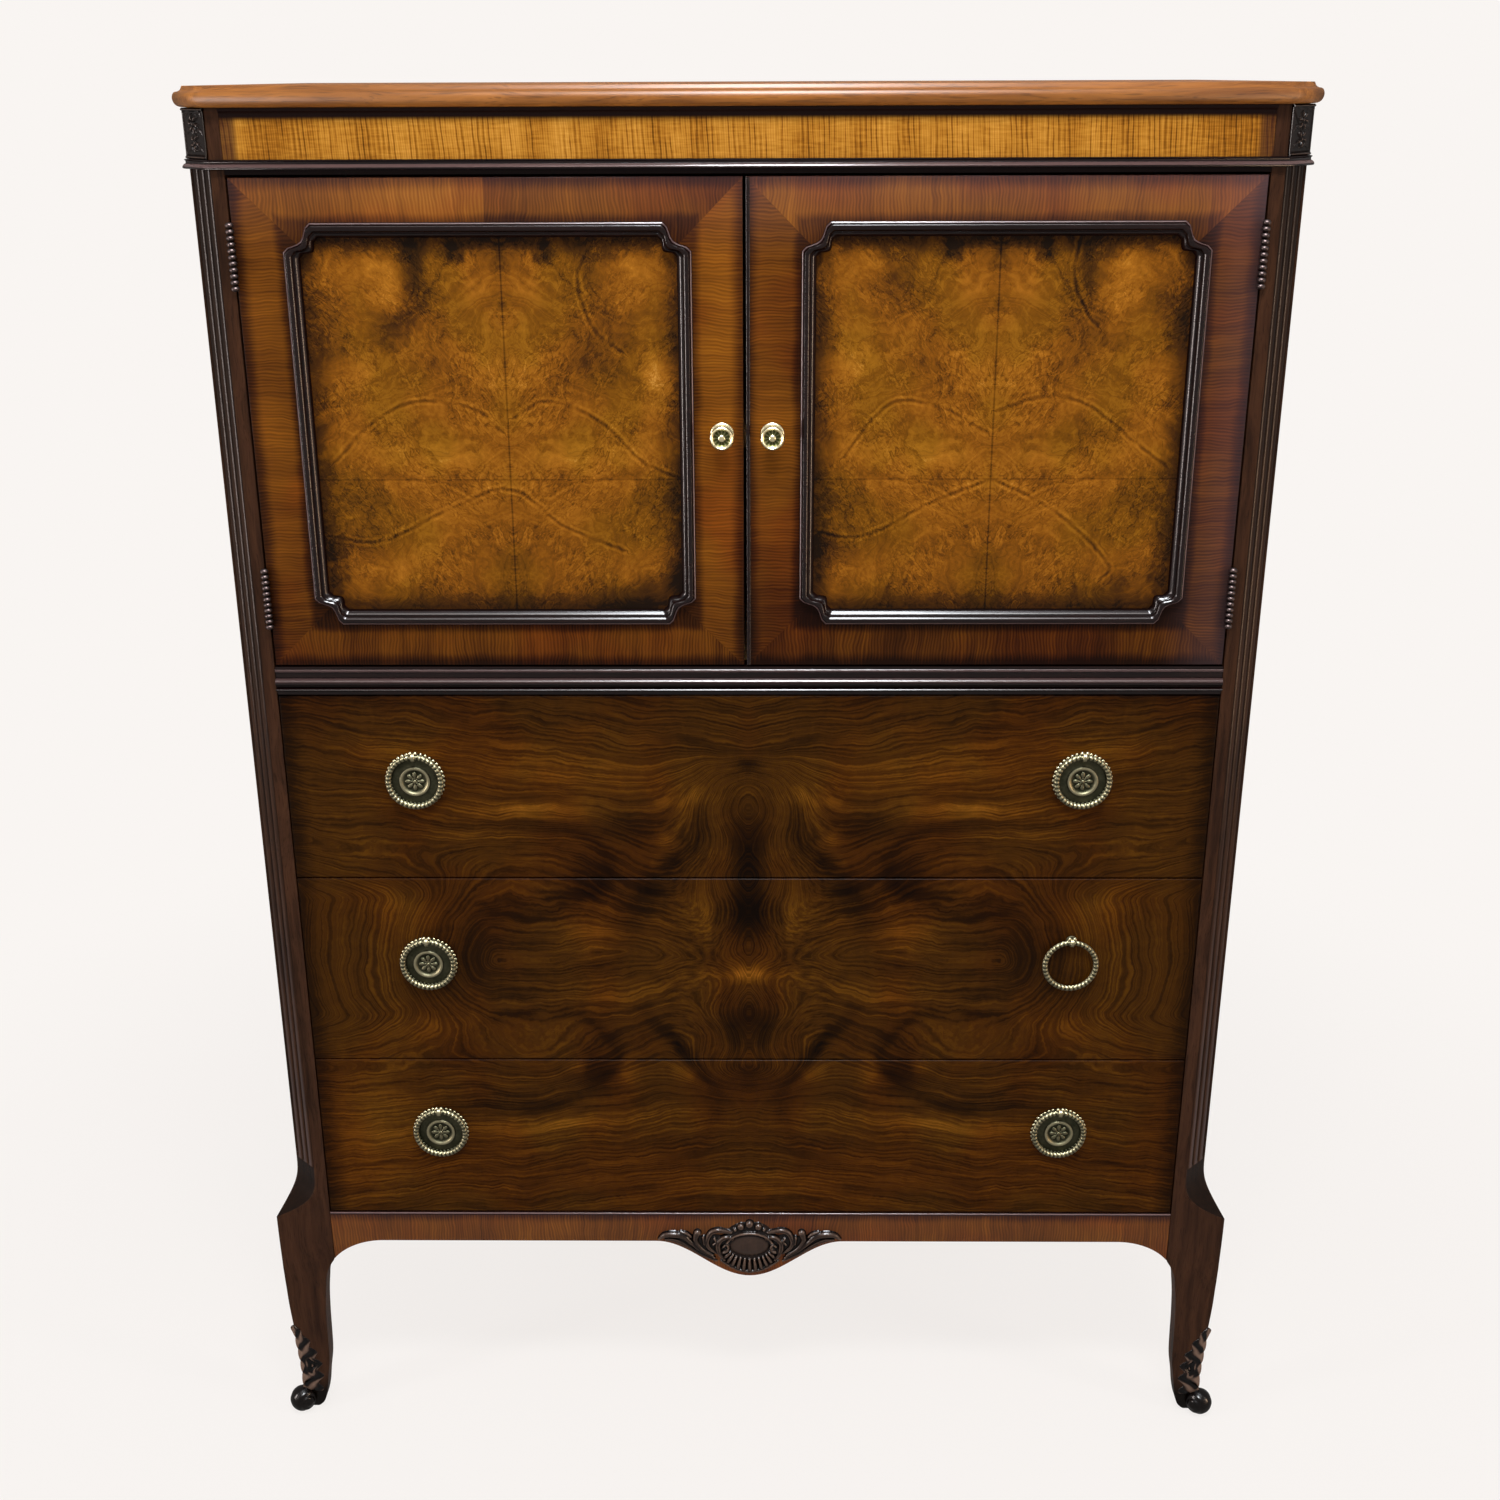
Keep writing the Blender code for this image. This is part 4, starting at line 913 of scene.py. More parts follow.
# name: bright, dull, roughness, unevenness of the patina
metals = {
    "polished_brass": ((166, 156, 124), (44, 46, 20), 0.30, 0.3),
    "aged_brass": ((108, 103, 82), (22, 24, 15), 0.40, 0.5),
    "hinge_bronze": ((54, 46, 45), (18, 13, 12), 0.42, 0.6),
}
crotchStops = (
    (0.0, (12, 5, 2)), (0.25, (34, 17, 3)), (0.5, (64, 36, 6)), (0.75, (96, 59, 12)), (1.0, (146, 94, 26)),
)
crotchLook = {
    "coat": 0.05, "rough": 0.34,
    "crinkles": ((55, 0.006), (160, 0.0012)),  # scale and amount
    "bands": ((70, 5, 4), (420, 12, 3), (1500, 60, 2)),  # across and along the growth, detail
    "curlScale": 70, "curlTwist": 1.2, "broad": 0.46, "lines": 0.26, "curl": 0.24,
    "hueScale": 9, "hue": 0.45, "otherHue": (255, 206, 168),
}
burlStops = (
    (0.0, (24, 12, 4)), (0.25, (72, 40, 7)), (0.5, (122, 72, 12)), (0.75, (160, 102, 26)),
    (1.0, (212, 152, 72)),
)
burlLook = {
    "coat": 0.10, "rough": 0.34,
    "crinkles": ((30, 0.024), (95, 0.008)),
    "bands": ((45, 9, 4), (260, 14, 3), (1100, 60, 2)),
    "curlScale": 46, "curlTwist": 2.0, "broad": 0.40, "lines": 0.12, "curl": 0.46,
    "worms": ((110, 0.42, 0.050), (190, 0.60, 0.060)),  # scale, share of it along, half width
    "veins": 0.11, "ridge": 0.16, "fan": -0.62, "fold": 0.990,
    "hueScale": 15, "hue": 0.8, "otherHue": (226, 236, 200),
}
panelMiddle = {"left": -0.2052, "right": 0.2104}

finishes.update({name: straightWalnut(name, *made) for name, made in straightWood.items()})
finishes.update({name: metal(name, *made) for name, made in metals.items()})
finishes["frieze_fiddleback"] = frieze()
finishes["crotch_walnut"] = figuredVeneer("crotch_walnut", crotchStops, crotchLook)
finishes["burl_walnut"] = figuredVeneer("burl_walnut", burlStops, burlLook)
print("finishes:", len(finishes))


# Figure on the veneered faces: where the growth lines run, and which places are dark or golden

# marks: across, up, half width and half height in mm, turn in degrees, amount in hundredths
def gaussians(marks, across, up):
    total = np.zeros_like(up)
    for *place, turn, amount in marks:
        u, z, ru, rz = (value / 1000 for value in place)
        c, s = math.cos(math.radians(turn)), math.sin(math.radians(turn))
        du, dz = across - u, up - z
        along, beside = du * c + dz * s, dz * c - du * s
        total += amount / 100 * np.exp(-((along / ru) ** 2) - (beside / rz) ** 2)
    return total


def rise(value, low, high):
    t = np.clip((value - low) / (high - low), 0, 1)
    return t * t * (3 - 2 * t)


def wobble(across, up, scale, amount, shift=0.0):
    moved = np.array([noise.noise_vector((a * scale, shift, b * scale)) for a, b in zip(across, up)])
    return moved[:, 0] * amount, moved[:, 2] * amount


# Distance to the nearest of the drawn lines, which are in mm, kept signed by the side it is on.
def lineDistance(lines, across, up):
    nearest = np.full_like(up, 0.05)
    for line in lines:
        points = smoothLine([(u / 1000, z / 1000) for u, z in line], 6)
        for a, b in zip(points, points[1:]):
            run = b - a
            t = np.clip(((across - a[0]) * run[0] + (up - a[1]) * run[1]) / max(run @ run, 1e-12), 0, 1)
            du, dz = across - a[0] - run[0] * t, up - a[1] - run[1] * t
            gone = np.hypot(du, dz)
            side = np.sign(run[0] * dz - run[1] * du)
            nearest = np.where(gone < np.abs(nearest), gone * np.where(side == 0, 1, side), nearest)
    return nearest


def setFigure(piece, centre, field, wander):
    mesh = piece.data
    places = np.empty(len(mesh.vertices) * 3, np.float32)
    mesh.vertices.foreach_get("co", places)
    places = places.reshape(-1, 3).astype(float)
    signed, up = places[:, 0] - centre, places[:, 2]
    across = np.abs(signed)
    growth, along, level, ridge, sheet = field(signed, across, up, wander)
    for name, parts in (("figure", (growth, along, level)), ("sheet", (sheet, ridge, up))):
        made = mesh.attributes.new(name, "FLOAT_VECTOR", "POINT")
        made.data.foreach_set("vector", np.stack(parts, 1).astype(np.float32).ravel())


# The tables are in mm and hundredths, as gaussians takes them.
crotch = {
    "focus": (0.240, 0.530),  # where the feathers of the middle drawer meet, in metres
    "marks": (
        (0, 627, 14, 45, 0, -50), (0, 572, 22, 22, 0, -55), (0, 727, 11, 9, 0, -35),
        (67, 629, 24, 8, -42, -45), (43, 660, 6, 20, 0, -25), (108, 664, 35, 16, 0, -30),
        (152, 608, 22, 20, 0, -30), (106, 580, 16, 32, 20, -25), (87, 602, 18, 10, 0, -25),
        (178, 590, 22, 6, 0, -22), (262, 532, 45, 45, 0, -22), (8, 456, 18, 26, 0, -42),
        (62, 424, 45, 7, 50, -50), (0, 395, 20, 16, 0, -20), (152, 404, 22, 20, 0, -32),
        (235, 368, 60, 6, 4, -25), (130, 512, 35, 7, 0, -18), (190, 693, 100, 6, 5, -15),
        (400, 770, 60, 40, 0, -12), (30, 362, 10, 20, 0, -15), (190, 685, 90, 11, 4, 34),
        (170, 722, 110, 22, 5, 18), (330, 742, 60, 18, 8, 18), (60, 690, 30, 11, -12, 22),
        (78, 652, 12, 12, 0, 24), (250, 656, 60, 8, -4, 12), (147, 550, 32, 18, 0, 20),
        (320, 577, 42, 18, 20, 18), (325, 540, 18, 30, 0, 16), (8, 512, 12, 10, 0, 40),
        (45, 513, 25, 8, 0, 14), (42, 575, 12, 22, 0, 20), (126, 490, 50, 16, 0, 12),
        (310, 447, 50, 15, -10, 18), (170, 408, 12, 11, 0, 28), (56, 404, 15, 15, 0, 22),
        (120, 404, 12, 20, 0, 24), (190, 343, 90, 10, -4, 28), (0, 278, 90, 12, 0, 16),
        (300, 330, 90, 12, 0, 12), (200, 290, 150, 30, 0, 5),
    ),
    "ovals": (  # middle, half sizes, dip of the growth, darkness of the rim
        (212, 620, 80, 46, 26, -22), (204, 421, 76, 50, 26, -25),
    ),
}


# One sheet over all three drawers, mirrored about the middle.
def crotchFigure(signed, across, up, wander):
    du, dz = wobble(across, up, 14, 0.010, wander)
    eu, ez = wobble(across, up, 45, 0.0030, wander + 7)
    u, z = across + du + eu, up + dz + ez
    focusU, focusZ = crotch["focus"]
    over = np.abs(z - focusZ)
    arcs = np.hypot(np.maximum(u - focusU, 0), over)
    away = rise(over, 0.060, 0.125)
    growth = arcs * (1 - away) + (over - 0.12 * u) * away
    fu, fz = wobble(across, up, 90, 0.0030, wander + 11)
    marks = gaussians(crotch["marks"], across + du * 0.6 + fu, up + dz * 0.6 + fz)
    level = 0.43 + np.where(marks > 0, 0.98, 0.74) * marks
    for *oval, rim in crotch["ovals"]:
        ou, oz, ru, rz, dip = (value / 1000 for value in oval)
        ring = np.hypot((u - ou) / ru, (z - oz) / rz)
        growth = growth - dip * np.exp(-(ring**2))
        edge = np.exp(-(((ring - 1) / 0.11) ** 2)) * rise(0.30 - u, 0.0, 0.10)
        level = level + 0.6 * (rim / 100) * edge
    spine = np.exp(-((u / 0.055) ** 2)) * rise(z, 0.36, 0.42) * rise(-z, -0.745, -0.70)
    growth = growth * (1 - spine) + (u * 1.3 + 0.012 * np.sin(z * 90)) * spine
    # a painted light patch at the bottom drawer's lower left, standing for a reflection
    level = level + 0.20 * gaussians(((-372, 335, 50, 70, 0, 100),), signed, up)
    # painted shade at the fronts' ends beside the posts; darker along the top drawer's upper edge
    level = level - 0.24 * rise(across, 0.402, 0.427) - 0.08 * rise(up, 0.76, 0.795)
    return growth, across * (1 - spine) + z * spine, level, np.full_like(up, 0.05), across


burl = {
    # in mm: middle and radius of each swirl, and how far it bends the growth lines
    "eyes": (
        (45, 1012, 40, 36), (108, 1012, 30, -26), (85, 1150, 32, 30), (70, 930, 36, -30),
        (20, 1105, 34, -30), (130, 1080, 30, 24), (120, 895, 30, 24), (0, 1045, 26, 26),
        (15, 905, 26, 22), (60, 1085, 24, 20), (30, 1170, 22, 18), (140, 1150, 24, -18),
    ),
    "both": (
        (36, 1184, 5, 6, 0, -30), (34, 1173, 5, 5, 0, -20), (52, 1008, 34, 13, 0, 20),
        (110, 1010, 22, 12, 0, 12), (50, 950, 30, 18, 0, 8), (20, 1110, 20, 40, 0, 6),
        (0, 1150, 12, 30, 0, -8), (70, 915, 40, 12, 0, 10), (60, 1085, 28, 14, 40, -10),
        (118, 965, 26, 10, 20, -10),
    ),
    "left": (
        (-74, 1166, 13, 26, 8, -40), (-90, 1122, 24, 13, 30, -34), (-94, 1160, 15, 24, 0, 18),
        (-122, 1080, 16, 24, 0, 10), (72, 1172, 14, 18, -20, -20), (86, 1112, 24, 44, -10, -20),
        (106, 1158, 16, 18, 0, 10), (130, 1074, 11, 24, 0, 30), (120, 888, 46, 18, 20, -26),
        (-142, 1110, 16, 60, 0, -14), (-140, 930, 30, 12, 10, -20), (-85, 925, 12, 30, -30, 12),
    ),
    "right": (
        (-88, 1160, 20, 30, 10, -24), (-112, 1176, 14, 14, 0, 12), (-140, 930, 30, 14, 10, -22),
        (75, 1168, 15, 30, -10, -34), (104, 1160, 14, 22, 0, 14), (140, 1140, 18, 30, 0, -20),
        (80, 1118, 20, 16, -30, -22), (70, 1020, 40, 18, 10, -14), (120, 900, 30, 20, 0, -18),
        (-120, 1090, 20, 20, 0, 16),
    ),
    "ridges": {
        "left": (
            ((-151, 1006), (-116, 1040), (-77, 1058), (-30, 1052), (-6, 1032)),
            ((6, 1044), (36, 1058), (80, 1040), (114, 1006), (150, 990)),
            ((-160, 940), (-116, 936), (-51, 966), (0, 982), (45, 949), (97, 927)),
            ((75, 1184), (64, 1160), (75, 1120), (100, 1098)),
        ),
        "right": (
            ((-127, 1010), (-105, 1040), (-80, 1058), (-40, 1050), (-4, 1030)),
            ((3, 1049), (46, 1062), (81, 1053), (116, 1027), (150, 1001)),
            ((1, 990), (42, 971), (73, 949), (107, 914), (100, 900)),
            ((65, 1190), (62, 1160), (75, 1130), (84, 1120)),
            ((-160, 946), (-110, 940), (-50, 970), (1, 990)),
        ),
    },
}


def burlFigure(side, low, high):
    def field(signed, across, up, wander):
        # the leaves match, but not closely
        shifted = across + wobble(signed, up, 9, 0.014, wander + 5)[0]
        du, dz = wobble(shifted, up, 22, 0.020, wander)
        eu, ez = wobble(shifted, up, 70, 0.007, wander + 3)
        u, z = shifted + du + eu, up + dz + ez
        growth = 0.30 * u + 0.45 * z
        for eye in burl["eyes"]:
            eyeU, eyeZ, radius, swirl = (value / 1000 for value in eye)
            growth = growth + 0.7 * swirl * np.exp(-((u - eyeU) ** 2 + (z - eyeZ) ** 2) / radius**2)
        moved, raised = du * 0.3 + eu, up + dz * 0.3 + ez
        level = 0.47 + 0.06 * rise(up, 0.90, 1.06)
        level = level + gaussians(burl["both"], across + moved, raised)
        level = level + gaussians(burl[side], signed + moved, raised)
        fromTop = high[1] - up
        fromSide = np.minimum(signed - low[0], high[0] - signed)
        fromEdge = np.minimum(fromSide, np.minimum(up - low[1], fromTop))
        rough = du * 0.25 + eu * 0.5
        # darker towards the panel's edges: painted shade from the moulding, and old polish gathered there;
        # darker still below its top
        level = level - 0.38 * (1 - rise(fromEdge + rough, -0.004, 0.024))
        level = level - 0.08 * (1 - rise(fromTop + rough, 0.0, 0.024))
        ridge = lineDistance(burl["ridges"][side], signed, up)
        return growth, z, level, ridge, shifted

    return field


# The case

topEdge = {
    "bottom": chest["caseTop"] + chest["fit"],
    "thickness": 0.0165,
    "overhang": (0.007, 0.012, 0.003),  # at the sides, in front and behind
    "inset": 0.008,
    # down the edge: share of the inset, share of the thickness
    "shares": (
        (1.0, 0.0), (0.97, 0.012), (0.93, 0.05), (0.88, 0.12), (0.80, 0.185), (0.70, 0.225), (0.63, 0.235),
        (0.60, 0.25), (0.55, 0.262), (0.34, 0.275), (0.18, 0.315), (0.07, 0.40), (0.01, 0.50), (0.0, 0.57),
        (0.03, 0.68), (0.10, 0.78), (0.22, 0.87), (0.38, 0.935), (0.58, 0.975), (0.85, 1.0),
    ),
}


def topOutline(inset):
    beside, before, behind = topEdge["overhang"]
    x, near = chest["half"] + beside - inset, front + inset - before
    cant = chest["cant"] + beside + inset * (math.sqrt(2) - 2)
    return bothHalves([(x, back + behind - inset), (x, near + cant), (x - cant, near)])


def makeTop():
    rings = []
    for across, down in topEdge["shares"]:
        z = topEdge["bottom"] + topEdge["thickness"] * (1 - down)
        rings.append([(x, y, z) for x, y in topOutline(across * topEdge["inset"])])
    dress("topBoardFine", loft(rings), "carcass", "top_walnut", "top_board", smoothAngle=50)


friezeSizes = {
    "bottom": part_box("frieze_rail")[0].z,
    "thickness": 0.022,
    "fillet": 0.0025,
    "projection": 0.004,
    "cove": 0.0043,
    "coveSteps": 10,
    "moulding": (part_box("frieze_moulding")[0].z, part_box("frieze_moulding")[1].z, 0.005),
    # up the moulding: share of its height, share of its projection
    "shares": (
        (0.0, 0.40), (0.03, 0.75), (0.08, 0.95), (0.14, 1.0), (0.22, 1.0), (0.27, 0.99), (0.35, 0.92),
        (0.43, 0.82), (0.50, 0.70), (0.53, 0.60), (0.56, 0.50), (0.62, 0.46), (0.78, 0.46),
        (0.82, 0.50), (0.85, 0.58), (0.90, 0.64), (0.95, 0.62), (1.0, 0.42),
    ),
}


def caseOutline(offset):
    x = chest["half"] + offset
    cant = chest["cant"] + offset * (2 - math.sqrt(2))
    return bothHalves([(-x, back), (-x, front + cant - offset), (cant - x, front - offset)])


def makeFrieze():
    top, bottom, thickness = chest["caseTop"], friezeSizes["bottom"], friezeSizes["thickness"]
    projection, filletZ = friezeSizes["projection"], top - friezeSizes["fillet"]
    section = [(thickness, bottom), (0, bottom)]
    for i in range(friezeSizes["coveSteps"] + 1):
        angle = math.pi / 2 * i / friezeSizes["coveSteps"]
        up = filletZ - friezeSizes["cove"] * (1 - math.sin(angle))
        section.append((-projection * (1 - math.cos(angle)), up))
    section += [(-projection - 0.0002, filletZ + 0.0003), (-projection - 0.0002, top), (thickness, top)]
    bm = railMesh(section, postInner - chest["fit"])
    dress("friezeRailFine", bm, "carcass", "frieze_fiddleback", "frieze_rail")
    low, high, out = friezeSizes["moulding"]
    profile = [(0.0, 0.0)] + list(friezeSizes["shares"]) + [(1.0, 0.0)]
    lines, shades = [], []
    for up, share in profile:
        z = low + up * (high - low)
        lines.append([(x, y, z) for x, y in caseOutline(chest["fit"] + share * out)])
        # a painted highlight band on the moulding's upper front face
        shades.append(0.6 if 0.25 < up < 0.55 else 0.0)
    bm = shadeVerts(loft(list(zip(*lines))), shades * len(lines[0]))
    dress("friezeMouldingFine", bm, "carcass", "dark_moulding", "frieze_moulding", smoothAngle=40)


legSizes = {
    "knee": 0.2441,
    "scoop": 0.046,
    "flare": 0.0150,
    "reeds": 3,
    "reedDepth": 0.0022,
    "reedMargin": 0.0020,
    "reedPoints": 12,
    "spandrelRun": 0.0615,
    "spandrelDrop": 0.048,
    "apronClear": 0.2048,
    "kneeFoot": 0.643,  # down to here the apron's curve gives the leg's width
    "kneeWidth": 0.733,
    "fade": 0.006,  # over this height the reeds run out, in so many steps
    "fadeSteps": 6,
    "scoopSteps": 24,
    # down the leg: share of the knee's height, flare, width as a share of the post's, turn of the faces
    "shares": (
        (0.960, 1.00, None, 0.00), (0.880, 0.99, None, 0.02), (0.800, 0.97, None, 0.05),
        (0.7475, 0.96, None, 0.12), (0.727, 0.95, None, 0.18), (0.705, 0.94, None, 0.24),
        (0.676, 0.93, None, 0.32), (0.643, 0.91, 0.733, 0.40), (0.560, 0.87, 0.675, 0.54),
        (0.450, 0.77, 0.640, 0.68), (0.350, 0.65, 0.625, 0.78), (0.250, 0.55, 0.600, 0.86),
        (0.170, 0.51, 0.520, 0.92), (0.107, 0.54, 0.468, 1.00), (0.059, 0.53, 0.400, 1.00),
        (0.030, 0.50, 0.320, 1.00), (0.010, 0.44, 0.200, 1.00), (0.000, 0.36, 0.120, 1.00),
    ),
    "toeOut": 0.010,
    "toeRadius": 0.0135,
}
reedFoot = legSizes["knee"] + legSizes["scoop"]


# Half the opening's width under the case, in the curve from the apron to the leg.
def spandrelHalf(z):
    run, drop = legSizes["spandrelRun"], legSizes["spandrelDrop"]
    start = chest["half"] - chest["post"] - run + chest["post"] * (1 - legSizes["kneeWidth"])
    up = min(max((z - legSizes["apronClear"] + drop) / drop, 0), 1)
    return start + run * math.sqrt(1 - up * up)


# Plan sections of a post with its leg, as (out, forward) from the case's corner, from the top down.
def legSections(canted, backShare):
    cantLength = chest["cant"] * math.sqrt(2)
    reedWidth = (cantLength - 2 * legSizes["reedMargin"]) / legSizes["reeds"]
    along = [0.0]
    for i in range(legSizes["reeds"]):
        for k in range(legSizes["reedPoints"]):
            share = 0.5 - 0.5 * math.cos(math.pi * k / legSizes["reedPoints"])
            along.append(legSizes["reedMargin"] + reedWidth * (i + share))
    along += [cantLength - legSizes["reedMargin"], cantLength]

    def depth(place):
        across = (place - legSizes["reedMargin"]) / reedWidth
        if across < 0 or across > legSizes["reeds"]:
            return 0
        swing = 2 * (across % 1) - 1
        return legSizes["reedDepth"] * (1 - math.sqrt(max(1 - swing * swing, 0)))

    def section(z, edge, flareSide, width, turn, reeded):
        facet = []
        for place in along:
            share = place / along[-1]
            sunk = depth(place) * reeded / math.sqrt(2)
            out = edge[0] * (1 - share) + edge[1] * share - sunk
            forward = edge[1] * (1 - share) + edge[0] * share - sunk
            facet.append((out, forward * (backShare if forward > 0 else 1)))
        cut = 0.5 * width * min(turn / 0.4, 1)
        points = [(-width, turn * flareSide * backShare)] + facet + [(turn * flareSide, -width)]
        points += [(cut - width, -width), (-width, cut - width)]
        return [(out, forward, z) for out, forward in points]

    cant = -chest["cant"] if canted else 0
    flat = (cant, 0)
    rings = [section(chest["caseTop"], flat, 0, chest["post"], 0, 0)]
    if canted:
        covered = friezeSizes["moulding"][0]
        steps = legSizes["fadeSteps"]
        for foot, fade in ((covered, math.sin), (reedFoot, math.cos)):
            for k in range(steps + 1):
                z = foot + legSizes["fade"] * (1 - k / steps)
                rings.append(section(z, flat, 0, chest["post"], 0, fade(math.pi / 2 * k / steps)))
    steps = legSizes["scoopSteps"]
    for i in range(1, steps + 1):
        down = 1 - (1 - i / steps) ** 1.5
        edge = (cant + (legSizes["flare"] - cant) * down**5, legSizes["flare"] * down**3)
        rings.append(section(reedFoot - legSizes["scoop"] * down, edge, 0, chest["post"], 0, 0))
    shares = legSizes["shares"]
    widths = smoothLine([(-height, width) for height, flare, width, turn in shares if width], 4)
    levels, shrinking = zip(*widths)
    line = smoothLine([(height, flare, turn) for height, flare, width, turn in shares], 4)
    for height, flare, turn in line:
        z = height * legSizes["knee"]
        if height >= legSizes["kneeFoot"]:
            wide = chest["half"] - max(spandrelHalf(z), postInner)
            wide = max(wide, legSizes["kneeWidth"] * chest["post"])
        else:
            wide = chest["post"] * float(np.interp(-height, levels, shrinking))
        out = flare * legSizes["flare"]
        rings.append(section(z, (out, out), out, wide, min(max(turn, 0), 1), 0))
    return rings


# The leg's painted light: painted highlights on the reed crests and painted shade in their grooves,
# painted shade in the scoop above the knee, and a dark foot
def legShade(ring):
    count = len(ring) - 4
    z = ring[0][2]
    shades = []
    for i in range(len(ring)):
        onFacet = 1 < i < count
        reed = (i - 2) % legSizes["reedPoints"] / legSizes["reedPoints"]
        crest = math.sin(math.pi * reed)
        if onFacet and reedFoot < z < friezeSizes["moulding"][0]:
            shades.append(0.50 * crest**3 - 0.85 * (1 - crest))
        elif onFacet and z > legSizes["knee"] + 0.0002:
            shades.append(-0.80)
        else:
            shades.append(-1.0 * min(max((0.042 - z) / 0.020, 0), 1))
    return shades


def makeLegs():
    for place, isFront in (("front", True), ("rear", False)):
        sections = legSections(isFront, 1 if isFront else 0)
        shades = [value for ring in sections for value in legShade(ring)] if isFront else []
        face, turn = (front, -1) if isFront else (back, 1)
        for side, hand in sides:
            rings = []
            for ring in sections:
                rings.append([(hand * (chest["half"] + x), face + turn * y, z) for x, y, z in ring])
            bm, name = shadeVerts(loft(rings), shades), f"{place}Leg{side.title()}Fine"
            dress(name, bm, "carcass", "post_walnut", f"{place}_leg_{side}", smoothAngle=38)


waistSizes = {
    "bottom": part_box("drawer_3_front")[1].z + 0.0016,
    "height": 0.0262,
    "projection": 0.005,
    "depth": 0.022,
    # up from the lower edge: middle of each bead, half its height, how far it stands out
    "beads": ((0.20, 0.065, 0.90), (0.46, 0.14, 1.0), (0.86, 0.060, 0.30)),
}


# The beaded rail, with the cupboard's floor behind it.
def makeWaist():
    bottom, height, depth = waistSizes["bottom"], waistSizes["height"], waistSizes["depth"]
    section = [(depth, bottom), (0, bottom)]
    for middle, half, share in waistSizes["beads"]:
        section.append((0, bottom + (middle - half) * height - 0.0001))
        for out, along in halfTurn:
            up = bottom + (middle - half * along) * height
            section.append((-share * waistSizes["projection"] * out, up))
        section.append((0, bottom + (middle + half) * height + 0.0001))
    section += [(0, bottom + height), (depth, bottom + height)]
    upper = bottom + waistSizes["beads"][1][0] * height
    # painted highlight on the beads' upper faces, from the middle bead up
    shades = [0.38 if y < -0.001 and z > upper else 0.0 for y, z in section]
    bm = shadeVerts(railMesh(section, postInner - 2 * chest["fit"]), shades * 2)
    dress("waistRailFine", bm, "carcass", "dark_moulding", "waist_board", smoothAngle=40)
    bm = nodeMesh("waist_board")
    everything = bm.verts[:] + bm.edges[:] + bm.faces[:]
    cut = (0, front + depth - 0.0005, 0)
    bmesh.ops.bisect_plane(bm, geom=everything, plane_co=cut, plane_no=(0, -1, 0), clear_outer=True)
    bmesh.ops.holes_fill(bm, edges=bm.edges[:], sides=0)
    dress("cupboardFloorFine", bm, "carcass", "inner_wood", "waist_board")


apronSizes = {
    "thickness": 0.020,
    "drop": 0.042,
    "dropHalf": 0.095,
    "bead": (0.0012, 0.0008),  # radius, and how far it stands out
    "sideThickness": 0.012,
    "sideInset": 0.002,
}


def skirtOutline(halfLength, upper, steps=24):
    run, drop = legSizes["spandrelRun"], legSizes["spandrelDrop"]
    start = halfLength + chest["post"] * (1 - legSizes["kneeWidth"]) + chest["fit"] - run
    joint = math.asin((halfLength - start) / run)
    curve = []
    for i in range(steps + 1):
        angle = joint * i / steps
        up = legSizes["apronClear"] - drop * (1 - math.cos(angle))
        curve.append((start + run * math.sin(angle), up))
    return curve + [(halfLength, upper)]


def makeSkirts():
    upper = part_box("apron")[1].z
    outline = []
    for i in range(-32, 33):
        drop = apronSizes["drop"] * (1 + math.cos(math.pi * i / 32)) / 2
        outline.append((apronSizes["dropHalf"] * i / 32, legSizes["apronClear"] - drop))
    outline += bothHalves(skirtOutline(postInner - chest["fit"], upper))
    bm = plateMesh([outline], apronSizes["thickness"], "front", front)
    dress("apronFine", bm, "carcass", "door_crossband", "apron", finish="apron_veneer")
    radius, stand = apronSizes["bead"]
    section = [(-stand * out, upper - radius + radius * along) for out, along in halfTurn]
    section += [(0.001, upper - 2 * radius), (0.001, upper)]
    bm = railMesh(section, postInner - 2 * chest["fit"])
    # a painted highlight along the bead's upper front
    bm = shadeVerts(bm, ([0.4, 1.0, 1.0, 0.8, 0.2] + [0.0] * 6) * 2)
    dress("apronBeadFine", bm, "carcass", "dark_moulding", "apron", smoothAngle=60)
    length = (chest["depth"] - 2 * chest["post"]) / 2 - chest["fit"]
    middle = front + chest["depth"] / 2
    outline = [(middle + a, b) for a, b in bothHalves(skirtOutline(length, chest["caseTop"]))]
    for side, hand in sides:
        face = hand * (chest["half"] - apronSizes["sideInset"])
        bm = plateMesh([outline], apronSizes["sideThickness"], side, face)
        dress(f"sidePanel{side.title()}Fine", bm, "carcass", "side_walnut", f"side_panel_{side}")


# Which strip of a door frame, where its lighter or darker stretch starts and ends, and by how much
bandTints = {
    "left": (
        ("top", (-0.50, -0.49), (-0.216, -0.2155), 0.14), ("top", (-0.33, -0.30), (-0.216, -0.2155), 0.12),
        ("top", (-0.216, -0.2155), (0.10, 0.11), 0.02), ("left", (0.70, 0.71), (1.30, 1.31), 0.02),
        ("right", (0.70, 0.71), (1.30, 1.31), 0.13), ("bottom", (-0.50, -0.49), (0.10, 0.11), -0.08),
        ("right", (0.70, 0.71), (0.87, 0.95), -0.17), ("left", (0.70, 0.71), (0.87, 0.95), -0.08),
    ),
    "right": (
        ("top", (-0.10, -0.09), (0.50, 0.51), 0.14), ("left", (0.70, 0.71), (1.30, 1.31), 0.03),
        ("right", (0.70, 0.71), (1.30, 1.31), -0.08), ("bottom", (-0.10, -0.09), (0.50, 0.51), -0.20),
        ("left", (0.70, 0.71), (0.87, 0.95), -0.18), ("right", (0.70, 0.71), (0.87, 0.95), -0.10),
    ),
}
# how strong the painted sheen is on each door's upper rails
topSheen = {"left": 0.11, "right": 0.18}
